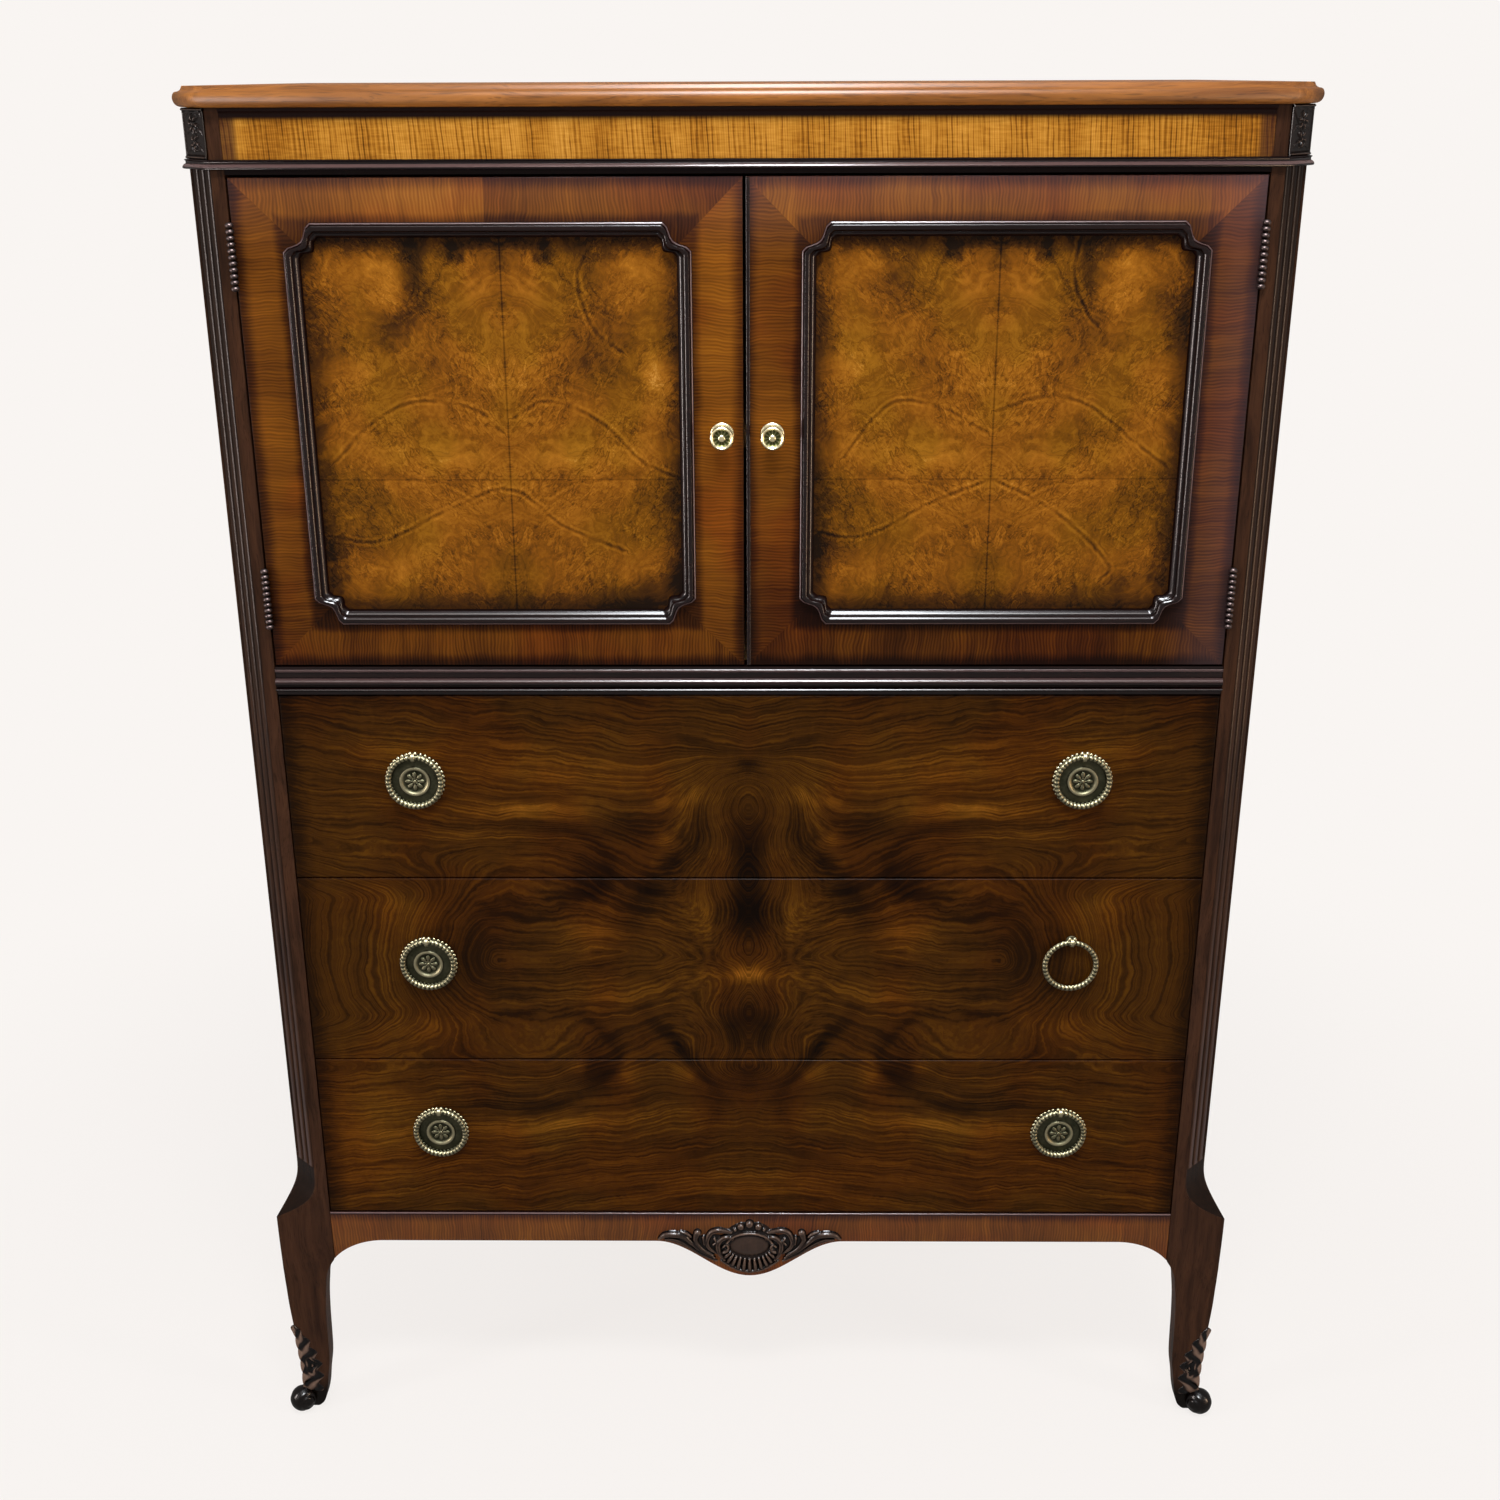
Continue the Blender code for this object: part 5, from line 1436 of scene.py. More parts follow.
for side, hand in sides:
    (low, high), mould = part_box("door_frame_" + side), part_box("door_moulding_" + side)
    # painted sheen on the upper rails, and on the right door's outer stile
    paintedSheen = ((2, 1.17, 1.25, topSheen[side]), (0, 0.36, 0.42, 0.14))
    opening = (mould[0].x, mould[1].x, mould[0].z, mould[1].z)
    corners, name = ((low.x, low.z), (high.x, high.z)), "door_crossband_" + side
    finishes[name] = crossband(name, *corners, bandTints[side], 0.49, 0.08, paintedSheen, opening)
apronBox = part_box("apron")
# a faint painted sheen over the whole apron
apronSheen = (2, -2.0, -1.0, 0.06)
# they lie so far off that no mitre falls on the apron
corners = ((-2.0, apronBox[0].z - 1), (2.0, apronBox[1].z))
finishes["apron_veneer"] = crossband("apron_veneer", *corners, (), 0.50, 0.14, (apronSheen,))

makeTop()
makeFrieze()
makeLegs()
makeWaist()
makeSkirts()
for name in ("shelf", "dust_board_lower", "dust_board_upper", "bottom_board", "back_panel"):
    dressBoard(name, "carcass")
print("case: top, frieze, legs, waist, apron, sides and boards")


# The doors

doorSizes = {
    "thickness": 0.020,
    "mouldingWidth": 0.0125,
    "mouldingOut": 0.0065,
    "onFrame": 0.70,
    "notch": 0.0235,
    "notchStep": 0.0035,
    "hollow": 0.0015,
    "sink": 0.004,
    "panelThickness": 0.008,
    "hungGap": 0.0017,
    "meetingStile": 0.0455,
    "hungStile": 0.0410,
    "upperRail": 0.0352,
    "lowerRail": 0.0388,
    # from the outer to the inner edge: share of the width, share of the projection
    "shares": (
        (0.0, 0.0), (0.0, 0.36), (0.03, 0.46), (0.09, 0.52), (0.13, 0.50), (0.16, 0.56), (0.18, 0.80),
        (0.20, 0.95), (0.23, 0.995), (0.33, 1.0), (0.40, 1.0), (0.45, 0.98), (0.51, 0.88), (0.57, 0.76),
        (0.60, 0.66), (0.63, 0.50), (0.67, 0.46), (0.71, 0.50), (0.75, 0.47), (0.84, 0.30),
        (0.93, 0.10), (0.96, 0.02),
    ),
    "crests": (4, 5),  # the points of the profile that carry a painted highlight
    "bead": (0.0035, 0.0010),  # the right door's leading edge: width, and how far it stands out
    "wander": {"left": 2.0, "right": 2.15},  # tells the two panels' figure apart
}


# The moulding's outline with its stepped, hollow corners, moved in by the inset.
def notchedOutline(near, far, low, high, inset):
    notch, step = doorSizes["notch"], doorSizes["notchStep"]
    middleX, middleZ = (near + far) / 2, (low + high) / 2
    halfX, halfZ = abs(far - near) / 2 - inset, (high - low) / 2 - inset
    reach = notch - inset * (1 - math.tan(math.pi / 8))
    halfWay = (notch + step) / 2 + doorSizes["hollow"] - inset * (1 - math.sqrt(2) / 2)
    curve = smoothLine([(step, reach - step), (halfWay, halfWay), (reach - step, step)], 3)
    beyond = reach + 0.0012  # keeps the long runs' shading straight up to the corners
    curve = [(float(a), float(b)) for a, b in curve]
    corner = [(0, beyond), (0, reach)] + curve + [(reach, 0), (beyond, 0)]
    upper = bothHalves([(across - halfX, halfZ - down) for across, down in corner])
    return [(middleX + x, middleZ + z) for x, z in upper + [(x, -z) for x, z in reversed(upper)]]


# The outline run counter-clockwise, or the other way round for a hole.
def turned(points, hole=False):
    area = sum(a[0] * b[1] - b[0] * a[1] for a, b in zip(points, points[1:] + points[:1]))
    return points[::-1] if (area > 0) == hole else points


def makeDoor(side, hand):
    body, name = "door_" + side, side.title() + "Fine"
    fit, moulding = chest["fit"], doorSizes["mouldingWidth"]
    frameLow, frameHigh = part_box("door_frame_" + side)
    hung = hand * (postInner - doorSizes["hungGap"])
    near, far = hand * doorSizes["meetingStile"], hung - hand * doorSizes["hungStile"]
    low, high = frameLow.z + doorSizes["lowerRail"], frameHigh.z - doorSizes["upperRail"]
    limits = (near, far, low, high)
    onFrame = moulding * doorSizes["onFrame"]
    freeEdge = frameHigh.x if hand < 0 else frameLow.x + 0.0002
    outline = rectangle(min(freeEdge, hung), max(freeEdge, hung), frameLow.z, frameHigh.z)
    opening = turned(notchedOutline(*limits, onFrame), hole=True)
    bm = plateMesh([outline, opening], doorSizes["thickness"], "front", front, edge=0.0007, edgeSteps=3)
    veneer = "door_crossband_" + side
    dress("doorFrame" + name, bm, body, "door_crossband", "door_frame_" + side, finish=veneer)
    if hand > 0:
        makeMeetingBead(body, frameLow, frameHigh)
    fitted, sink = turned(notchedOutline(*limits, onFrame + fit)), doorSizes["sink"]
    thickness = doorSizes["panelThickness"]
    bm = plateMesh([fitted], thickness, "front", front + sink, cell=0.0032, edge=0.0003, edgeSteps=1)
    panel = makePiece("doorPanel" + name, bm, finishes["burl_walnut"])
    centre = panelMiddle[side]
    bounds = ((min(near, far) + moulding - centre, low + moulding),
              (max(near, far) - moulding - centre, high - moulding))
    setFigure(panel, centre, burlFigure(side, *bounds), doorSizes["wander"][side])
    settle(panel, body, "burl_walnut", "door_panel_" + side)
    profile = [(onFrame + fit, sink - fit), (onFrame + fit, -fit)]
    stand, shares = doorSizes["mouldingOut"], doorSizes["shares"]
    profile += [(across * moulding, -fit - out * stand) for across, out in shares]
    profile.append((moulding, sink - fit))
    lines = [[(x, front + y, z) for x, z in notchedOutline(*limits, inset)] for inset, y in profile]
    # a painted highlight line along the moulding's outer bead
    crests = [0.55 if i in doorSizes["crests"] else 0.0 for i in range(len(profile))]
    bm = shadeVerts(loft(list(zip(*lines)), closed=True), crests * len(lines[0]))
    dress("doorMoulding" + name, bm, body, "dark_moulding", "door_moulding_" + side, smoothAngle=40)


# The bead on the right door's leading edge, half round.
def makeMeetingBead(body, low, high):
    width, stand = doorSizes["bead"]
    curve = [(width / 2 * (1 - along), -stand * out) for out, along in halfTurn]
    section = [(0.0, 0.010)] + curve + [(width, 0.010)]
    rings = [[(low.x + x, front + y, z) for x, y in section] for z in (low.z + 0.0003, high.z - 0.0003)]
    dress("meetingBeadFine", loft(rings), body, "dark_moulding", "door_frame_right", smoothAngle=60)


knobSizes = {
    "radius": 0.01025,
    "projection": 0.0200,
    "steps": 64,
    # out from the door: share of the radius, share of the projection
    "shares": (
        (0.0001, 0.985), (0.10, 0.985), (0.20, 0.975), (0.27, 0.955), (0.30, 0.92), (0.33, 0.885),
        (0.42, 0.872), (0.52, 0.872), (0.62, 0.885), (0.70, 0.92), (0.76, 0.96), (0.83, 0.985),
        (0.90, 0.975), (0.96, 0.94), (1.0, 0.88), (0.985, 0.82), (0.93, 0.755), (0.80, 0.69),
        (0.62, 0.62), (0.46, 0.54), (0.37, 0.45), (0.35, 0.36), (0.38, 0.27), (0.46, 0.19),
        (0.60, 0.13), (0.76, 0.105), (0.90, 0.095), (0.98, 0.075), (1.0, 0.045), (1.0, 0.0),
        (0.0001, 0.0),
    ),
}


def makeKnobs():
    steps, shares = knobSizes["steps"], knobSizes["shares"]
    profile = [(r * knobSizes["radius"], h * knobSizes["projection"]) for r, h in shares]
    shades = []
    for share, out in shares:
        dark = 0.33 <= share <= 0.70 and out > 0.8
        for i in range(steps):
            notch = 0.18 * math.cos(2 * math.pi * 12 * i / steps)
            shades.append(0.05 + notch if dark else 1.0)
    for side, hand in sides:
        low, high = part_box("knob_" + side)
        centre = ((low.x + high.x) / 2, high.y, (low.z + high.z) / 2)
        bm, name = shadeVerts(turnedMesh(profile, steps, centre), shades), "knob" + side.title() + "Fine"
        dress(name, bm, "door_" + side, "polished_brass", "knob_" + side, smoothAngle=50)


for side, hand in sides:
    makeDoor(side, hand)
makeKnobs()
print("doors: frames, panels, mouldings and knobs")


# The drawers

drawerFront = {"thickness": 0.020, "cell": 0.0036, "edge": 0.0008, "edgeSteps": 3}
for number, body in drawers:
    low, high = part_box(f"drawer_{number}_front")
    outline = rectangle(low.x, high.x, low.z, high.z)
    bm = plateMesh([outline], kind="front", start=front, **drawerFront)
    piece = makePiece(f"drawer{number}FrontFine", bm, finishes["crotch_walnut"])
    setFigure(piece, 0.0, crotchFigure, 0.0)
    settle(piece, body, "crotch_walnut", f"drawer_{number}_front")
    for part in ("side_left", "side_right", "back", "bottom"):
        dressBoard(f"drawer_{number}_{part}", body)
print("drawers: fronts and boxes")


# The carving

cartouche = {
    "step": 0.00065,
    "straightEdge": 0.2048,  # the apron's lower edge, which the strokes' heights are measured from
    "outline": ((-0.094, 0.094), (-0.0405, 0.0275)),
    # (across, up, half width, height) in mm, for the right half
    "strokes": (
        ([(17, 4, 2.6, 4.0), (25, 6, 3.0, 5.0), (32, -1, 3.0, 5.2), (31, -12, 2.8, 4.6),
          (26, -21, 2.0, 3.6)], 0.15),
        ([(25, -10, 1.6, 3.6), (21.5, -6.5, 1.6, 4.0), (24, -2.5, 1.5, 4.2), (27, -5, 1.3, 4.0)], 0.0),
        ([(19, 12, 1.8, 3.4), (25, 13.5, 2.4, 4.2), (33, 14.5, 3.0, 4.8), (40, 11, 3.0, 5.0),
          (43.5, 1, 2.7, 4.6), (41, -7, 2.3, 4.0), (34, -13, 1.6, 3.2)], 0.2),
        ([(36, 5, 1.4, 3.6), (34, 1, 1.5, 3.8), (37, -2.5, 1.4, 3.6)], 0.0),
        ([(53, 11.5, 4.0, 5.2), (54, 9, 3.6, 5.0), (55, 2, 3.0, 4.2), (49, -8, 2.6, 3.8),
          (38, -16, 1.6, 3.0)], 0.0),
        ([(47, 6, 2.0, 3.6), (46, -2, 2.0, 3.4)], 0.0),
        ([(36, -19, 1.4, 2.6), (50, -10, 2.2, 3.4), (60, 0, 2.8, 4.0), (67, 7, 3.4, 4.8),
          (76, 9.6, 3.6, 5.4), (86, 8.8, 3.2, 4.8), (92, 4.0, 1.8, 3.2)], 0.0),
        ([(34, -23, 1.2, 2.2), (50, -14.5, 1.8, 2.8), (64, -4.5, 2.2, 3.0), (76, 2.0, 2.4, 3.2),
          (85, 3.0, 1.6, 2.6)], 0.25),
        ([(60, 7, 1.8, 3.4), (64, 10.5, 2.0, 3.8), (70, 12.6, 1.4, 3.0)], 0.0),
        ([(15, 8.2, 1.7, 4.6), (8, 11.0, 1.7, 5.0), (0, 12.0, 1.7, 5.2)], 0.0),
        ([(23, 0, 1.6, 4.8), (20, 4.5, 1.8, 5.0), (15, 8.2, 1.7, 4.6)], 0.0),
        ([(0, -36.5, 1.6, 2.6), (10, -34.5, 1.6, 2.6), (20, -29.5, 1.6, 2.6), (29, -23, 1.4, 2.2)], 0.0),
    ),
    "crown": ((0, 22.6, 4.4, 6.2), (8.8, 19.4, 4.0, 5.6), (14.5, 15.5, 2.2, 3.8)),
    # middle, half sizes and height of the boss, and of the flat ground under the strokes
    "boss": (0, -3.8, 20.5, 12.6, 6.9),
    "ground": ((0, -7, 33, 27, 1.3), (0, 12, 22, 12, 1.2), (38, -3, 20, 12, 0.9), (58, 1, 16, 7, 0.7)),
    # the ribs fan out under the boss: how many, first angle and sweep, height of their middle
    "ribs": (13, -165, 150, -5),
    # along each rib: how far across and up from the middle, half width, height
    "rib": ((22.5, 15.5, 1.6, 4.0), (26.0, 22, 2.5, 5.0), (28.5, 28.5, 2.3, 3.2)),
}


# The carver's small unevenness over a grid
def handWork(across, up, scale, start):
    return np.array([[noise.noise((a * scale, b * scale, start)) for a in across[0]] for b in up[:, 0]])


def makeCartouche():
    strokes = mirroredStrokes(cartouche["strokes"])
    crown = mirroredStrokes([([lobe], 0.0) for lobe in cartouche["crown"]])
    count, first, sweep, middle = cartouche["ribs"]
    ribs = []
    for k in range(count):
        angle = math.radians(first + sweep * k / (count - 1))
        c, d = math.cos(angle), math.sin(angle)
        ribs.append(([(u * c, middle + z * d, half, tall) for u, z, half, tall in cartouche["rib"]], 0.0))
    (left, right), (low, high) = cartouche["outline"]
    acrossLine = np.arange(left, right + 0.0001, cartouche["step"])
    upLine = np.arange(low, high + 0.0001, cartouche["step"])
    across, up = np.meshgrid(acrossLine * 1000, upLine * 1000)
    heights = strokeHeights(strokes + crown + ribs, across, up, -1.0)
    for u, z, ru, rz, tall in cartouche["ground"]:
        for hand in (1, -1):
            gone = np.hypot((across - hand * u) / ru, (up - z) / rz)
            heights = np.maximum(heights, np.clip((1 - gone) * 6, -1, 1) * tall)
    u, z, ru, rz, tall = cartouche["boss"]
    gone = np.hypot((across - u) / ru, (up - z) / rz)
    dome = tall * np.sqrt(np.maximum(1 - gone**2 * 0.92, 0))
    heights = np.where(gone < 1.0, np.maximum(dome - 1.2, 0.8), heights)
    heights = heights + np.where(heights > 0, 0.18 * handWork(across, up, 0.35, 3.0), 0)
    edge = cartouche["straightEdge"]

    def place(a, b):
        return Vector((a, front, edge + b)), Vector((0, -1, 0))

    # painted highlights on the raised strokes and painted shade in the hollows; the boss a plain lighter
    # brown
    shades = localShade(np.maximum(heights, 0), 3, 0.55)
    shades = np.where(gone < 0.97, 0.14, shades)
    bm = reliefMesh(acrossLine, upLine, heights / 1000, place, shades)
    dress("apronCarvingFine", bm, "carcass", "carved_walnut", "apron_carving", smoothAngle=70)


cornerBlock = {
    "step": 0.0006,
    # across, up, radius and height in mm, petals
    "flowers": ((0.0, 27.0, 8.2, 3.6, 6), (0.5, 12.5, 7.0, 3.4, 5)),
    # leaves to both sides at these heights, along each: across, up, half width, height
    "leafLevels": (6, 20, 34),
    "leaf": ((3, 0, 1.2, 2.0), (8, 2.5, 2.0, 2.8), (12.5, -1.5, 1.2, 1.6)),
    "groove": 0.35,
    # the mouldings at the foot and at the top: start and end from there, height
    "footBars": ((0.0, 2.2, 3.0), (2.2, 3.6, 2.0)),
    "topBars": ((2.6, 0.0, 3.2), (4.4, 2.6, 2.2)),
}


def makeCornerBlocks():
    low, high = friezeSizes["moulding"][1] + chest["fit"], chest["caseTop"]
    height = (high - low) * 1000
    wide = chest["cant"] * math.sqrt(2) * 1000
    acrossLine = np.arange(-wide / 2, wide / 2 + 0.01, cornerBlock["step"] * 1000)
    upLine = np.linspace(0, height, int(height / (cornerBlock["step"] * 1000)))
    across, up = np.meshgrid(acrossLine, upLine)
    heights = 0.7 + 0.5 * handWork(across, up, 0.5, 8.0)
    leaves = []
    for level in cornerBlock["leafLevels"]:
        for tilt in (-1, 1):
            spine = [(tilt * u, level + z, half, tall) for u, z, half, tall in cornerBlock["leaf"]]
            leaves.append((spine, cornerBlock["groove"]))
    heights = np.maximum(heights, strokeHeights(leaves, across, up, 0.0))
    for u, z, radius, raised, petals in cornerBlock["flowers"]:
        du, dz = across - u, up - z
        gone, angle = np.hypot(du, dz) / radius, np.arctan2(dz, du)
        swell = 0.60 + 0.40 * np.cos(petals * angle + gone * 1.6)
        petal = np.sqrt(np.maximum(1 - ((gone - 0.62) / 0.42) ** 2, 0)) * swell
        heart = np.sqrt(np.maximum(1 - (gone / 0.28) ** 2, 0)) * 0.95
        heights = np.where(gone < 1.04, np.maximum(heights, raised * np.maximum(petal, heart)), heights)
    side = np.abs(across) / (wide / 2)
    heights = np.maximum(heights, 1.9 * rise(side, 0.86, 0.92))
    bars = list(cornerBlock["footBars"])
    bars += [(height - start, height - end, out) for start, end, out in cornerBlock["topBars"]]
    for start, end, out in bars:
        middle, half = (start + end) / 2, (end - start) / 2
        bar = out * np.sqrt(np.maximum(1 - ((up - middle) / half / 1.04) ** 2, 0))
        heights = np.maximum(heights, bar)
    for side, hand in sides:
        out = Vector((hand, -1, 0)).normalized()
        along = Vector((1, hand, 0)).normalized()
        middle = Vector((hand * (chest["half"] - chest["cant"] / 2), front + chest["cant"] / 2, low))

        def place(a, b):
            return middle + along * a / 1000 + Vector((0, 0, b / 1000)), out

        # painted highlights and shade, and darker overall
        bm = reliefMesh(acrossLine, upLine, heights / 1000, place, localShade(heights, 2, 0.8) - 0.25)
        dress(f"cornerBlock{side.title()}", bm, "carcass", "carved_walnut", smoothAngle=70)


footSizes = {
    "leafTop": 0.108,
    "leafFoot": 0.022,
    "rows": 120,
    "columns": 60,
    "thick": 0.0030,
    # down the leaf: share of its length, half width on each face
    "widths": (
        (0.0, 0.0015), (0.10, 0.0060), (0.22, 0.0100), (0.38, 0.0145), (0.55, 0.0180), (0.75, 0.0185),
        (1.0, 0.0175),
    ),
    "lobes": 5.5,
    "frill": 0.16,  # how far the leaf's edge swings in and out, as a share of its width
    "round": 0.004,  # how far from the leg's corner the leaf bends round it
    # the curl: where it is as shares of the length and the half width, its half sizes, turns
    "curl": (0.62, 0.52, 0.10, 0.26, 26),
    "tip": (0.0024, 0.07),  # how far the tip lifts off, and over which share of the length
    "sunk": 0.0012,  # its back lies so far in the leg
}


# At a height of the leg: a point on its front, its outer corner, and a point on its side
def cornerAt(sections, z):
    heights = [ring[0][2] for ring in sections]
    for upper, lower in zip(range(len(sections)), range(1, len(sections))):
        if heights[upper] >= z >= heights[lower]:
            t = (heights[upper] - z) / max(heights[upper] - heights[lower], 1e-9)
            pick = []
            for index in (0, 1, -3):
                a, b = sections[upper][index], sections[lower][index]
                pick.append(Vector((a[0] + (b[0] - a[0]) * t, a[1] + (b[1] - a[1]) * t)))
            return pick
    return [Vector(sections[-1][i][:2]) for i in (0, 1, -3)]


# The unit way square to another in the plan, on the side that is asked for
def squareTo(way, towards):
    across = Vector((-way.y, way.x))
    return across if across.dot(Vector(towards)) > 0 else -across


# The leaf's relief at a share of its length and of its half width: the carving, and the lift off the leg
def leafRelief(t, swing):
    lobe = (footSizes["lobes"] * t + 0.9 * swing) % 1
    fold = abs(math.sin(math.pi * lobe)) ** 0.7
    vein = math.exp(-((swing / 0.10) ** 2))
    down, beside, halfLength, halfWidth, turns = footSizes["curl"]
    eye = math.exp(-(((t - down) / halfLength) ** 2) - ((swing - beside) / halfWidth) ** 2)
    curl = math.cos(turns * math.hypot((t - down) * 1.9, swing - beside) - 0.5) * eye
    raised = 0.42 * fold * (1 - eye) + 0.30 * vein + 0.42 * curl
    edgeFall = math.sqrt(max(1 - swing**4, 0))
    lift, share = footSizes["tip"]
    tip = lift * math.exp(-((t / share) ** 2)) * (1 - swing)
    return raised, footSizes["thick"] * edgeFall * (0.28 + raised) + tip


def makeFeet(sections):
    rows, columns = footSizes["rows"], footSizes["columns"]
    shares, widths = zip(*footSizes["widths"])
    for side, hand in sides:
        def world(flat, z):
            return Vector((hand * (chest["half"] + flat.x), front - flat.y, z))

        bm = bmesh.new()
        layer = bm.verts.layers.float.new("shade")
        outer, inner = [], []
        for j in range(rows + 1):
            t = j / rows
            z = footSizes["leafTop"] + (footSizes["leafFoot"] - footSizes["leafTop"]) * t
            inFront, corner, inSide = cornerAt(sections, z)
            first, second = (inFront - corner).normalized(), (inSide - corner).normalized()
            firstOut, secondOut = squareTo(first, (0, 1)), squareTo(second, (1, 0))
            middleOut = (firstOut + secondOut).normalized()
            width = float(np.interp(t, shares, widths))
            frill = footSizes["frill"] * math.sin(2 * math.pi * (footSizes["lobes"] * t + 0.9))
            edge = width * (1 + frill)
            outer.append([])
            inner.append([])
            for i in range(columns + 1):
                s = 2 * i / columns - 1
                swing = abs(s)
                way, out = (first, firstOut) if s < 0 else (second, secondOut)
                k = min(swing * edge / footSizes["round"], 1)
                k = k * k * (3 - 2 * k)
                outward = (middleOut * (1 - k) + out * k).normalized()
                raised, lift = leafRelief(t, swing)
                base = corner + way * (swing * edge) - outward * 0.0006 * (1 - k)
                outer[j].append(bm.verts.new(world(base + outward * max(lift, 0.0001), z)))
                # painted highlights on the leaf's raised lobes and veins, painted shade between them
                outer[j][-1][layer] = min(max((raised - 0.34) * 10.0, -1.0), 0.9)
                inner[j].append(bm.verts.new(world(base - outward * footSizes["sunk"], z)))
        for j in range(rows):
            for i in range(columns):
                bm.faces.new((outer[j][i], outer[j][i + 1], outer[j + 1][i + 1], outer[j + 1][i]))
                bm.faces.new((inner[j][i], inner[j + 1][i], inner[j + 1][i + 1], inner[j][i + 1]))
            for i in (0, columns):
                bm.faces.new((outer[j][i], outer[j + 1][i], inner[j + 1][i], inner[j][i]))
        for j in (0, rows):
            for i in range(columns):
                bm.faces.new((outer[j][i], outer[j][i + 1], inner[j][i + 1], inner[j][i]))
        dress(f"legLeaf{side.title()}", bm, "carcass", "carved_walnut", smoothAngle=70)
        makeToe(side, hand)


toeSizes = {
    "steps": 56,
    "groove": 0.05,
    "turn": 0.55,  # how far from the eye one turn of the scroll takes, as an angle
    "reach": 1.15,  # how far from the eye the scroll fades out
    "lift": 0.0004,
}


# The round toe under the leaf, a ball with a shallow scroll cut in its outer sides
def makeToe(side, hand):
    steps, radius = toeSizes["steps"], legSizes["toeRadius"]
    out = legSizes["toeOut"]
    centre = Vector((hand * (chest["half"] + out), front - out, radius + toeSizes["lift"]))
    axis = Vector((hand, 1, 0)).normalized()  # the scroll's eyes face along the front's diagonal
    ahead = Vector((hand, -1, 0)).normalized()
    rings = []
    for j in range(steps + 1):
        polar = math.pi * j / steps
        fromEye = min(polar, math.pi - polar)
        fade = math.exp(-((fromEye / toeSizes["reach"]) ** 6)) * math.sin(min(fromEye * 4, math.pi / 2))
        way = 1 if polar < math.pi / 2 else -1
        ring = []
        for i in range(steps * 2):
            turn = math.pi * i / steps
            spiral = math.cos(fromEye * 2 * math.pi / toeSizes["turn"] - turn * way)
            r = radius * (0.995 - toeSizes["groove"] * (0.5 - 0.5 * spiral) * fade)
            beside = ahead * math.cos(turn) + Vector((0, 0, 1)) * math.sin(turn)
            ring.append(centre + axis * (r * math.cos(polar)) + beside * (r * math.sin(polar)))
        rings.append(ring)
    bm = shadeVerts(loft(rings, capped=False), [-0.85] * (len(rings) * len(rings[0])))
    dress(f"toe{side.title()}", bm, "carcass", "carved_walnut", smoothAngle=70)


makeCartouche()
makeCornerBlocks()
makeFeet(legSections(True, 1))
print("carving: cartouche, corner blocks, leg leaves and toes")


# The pulls

petalRing = repeatTree("petalRing", False)
beadString = repeatTree("beadString", True)

pullSizes = {
    "plate": 0.028,
    "petals": 38,
    "petalHalf": (0.0034, 0.0021, 0.0015),
    "ring": 0.0242,
    "wire": 0.0026,
    # from the middle out: radius, height over the drawer's face, in mm
    "profile": (
        (0.01, 2.2), (8.4, 2.2), (10.2, 2.5), (11.3, 3.4), (12.1, 4.1), (13.0, 4.2), (13.8, 3.9),
        (14.3, 3.0), (14.7, 1.9), (16.5, 1.5), (21.0, 1.3), (23.5, 1.2), (25.0, 1.1), (26.0, 0.8),
        (26.2, 0.0), (0.01, 0.0),
    ),
    # count, radius, half sizes
    "rosette": ((8, 0.0062, (0.0035, 0.0021, 0.0014)), (8, 0.0028, (0.0020, 0.0011, 0.0011))),
    # how far in front of the drawer the middles of the petals, the rosette and its heart lie
    "ahead": {"petals": 0.0009, "rosette": 0.0022, "heart": 0.0026},
    "heart": (0.0019, 0.0016, 0.0019),  # half sizes
    # the bare post where a plate is lost
    "washer": ((0.00001, 0.0011), (0.0044, 0.0011), (0.0052, 0.0006), (0.0052, 0.0), (0.00001, 0.0)),
    "eye": (0.0040, 0.0029, 0.0018),  # the band's outer radius, bore and half width
    "knuckle": (0.0021, 0.0023, 0.0036),  # radius, and how far beside and above the middle
}


def frontMatrix(x, y, z):
    return Matrix.Translation((x, y, z)) @ Matrix.Rotation(math.pi / 2, 4, "X")


def ballMesh(centre, radii, steps=16):
    bm = bmesh.new()
    bmesh.ops.create_uvsphere(bm, u_segments=steps, v_segments=steps // 2, radius=1)
    bmesh.ops.scale(bm, verts=bm.verts, vec=radii)
    bmesh.ops.translate(bm, verts=bm.verts, vec=centre)
    return bm


# A ring cut with petals round its front, deeper at the sides
def torusMesh(centre, major, minor, around=304, steps=20):
    rings, shades = [], []
    for i in range(around):
        angle = 2 * math.pi * i / around
        cut = 0.5 - 0.5 * math.cos(pullSizes["petals"] * angle)
        thick = minor * (1 - 0.10 * max(math.sin(angle), 0))  # a little thinner at the top
        ring = []
        for j in range(steps):
            turn = 2 * math.pi * j / steps
            ahead = max(-math.sin(turn), 0) ** 0.5
            here = thick * (1 - 0.26 * cut * ahead)
            out, forward = major + here * math.cos(turn), here * math.sin(turn)
            across, up = out * math.cos(angle), out * math.sin(angle)
            ring.append((centre[0] + across, centre[1] + forward, centre[2] + up))
            shades.append(0.80 - 0.8 * cut * ahead)
        rings.append(ring)
    return shadeVerts(loft(rings, closed=True), shades)


# How rubbed a pull is, from its radius and its height over the drawer, in mm
def pullShade(place, middle, surface):
    r = math.hypot(place.x - middle.x, place.z - middle.z) * 1000
    tall = (surface - place.y) * 1000
    if place.z > middle.z + pullSizes["ring"] - 0.005 and tall > 1.6:
        return 0.9
    if 11.6 < r < 14.2:
        return 0.95
    if r < 11.6:
        return 0.04 + 0.34 * min(max(tall - 2.4, 0) / 1.2, 1)
    return 0.12 if r < 24 else min(max(tall / 1.6, 0), 1)


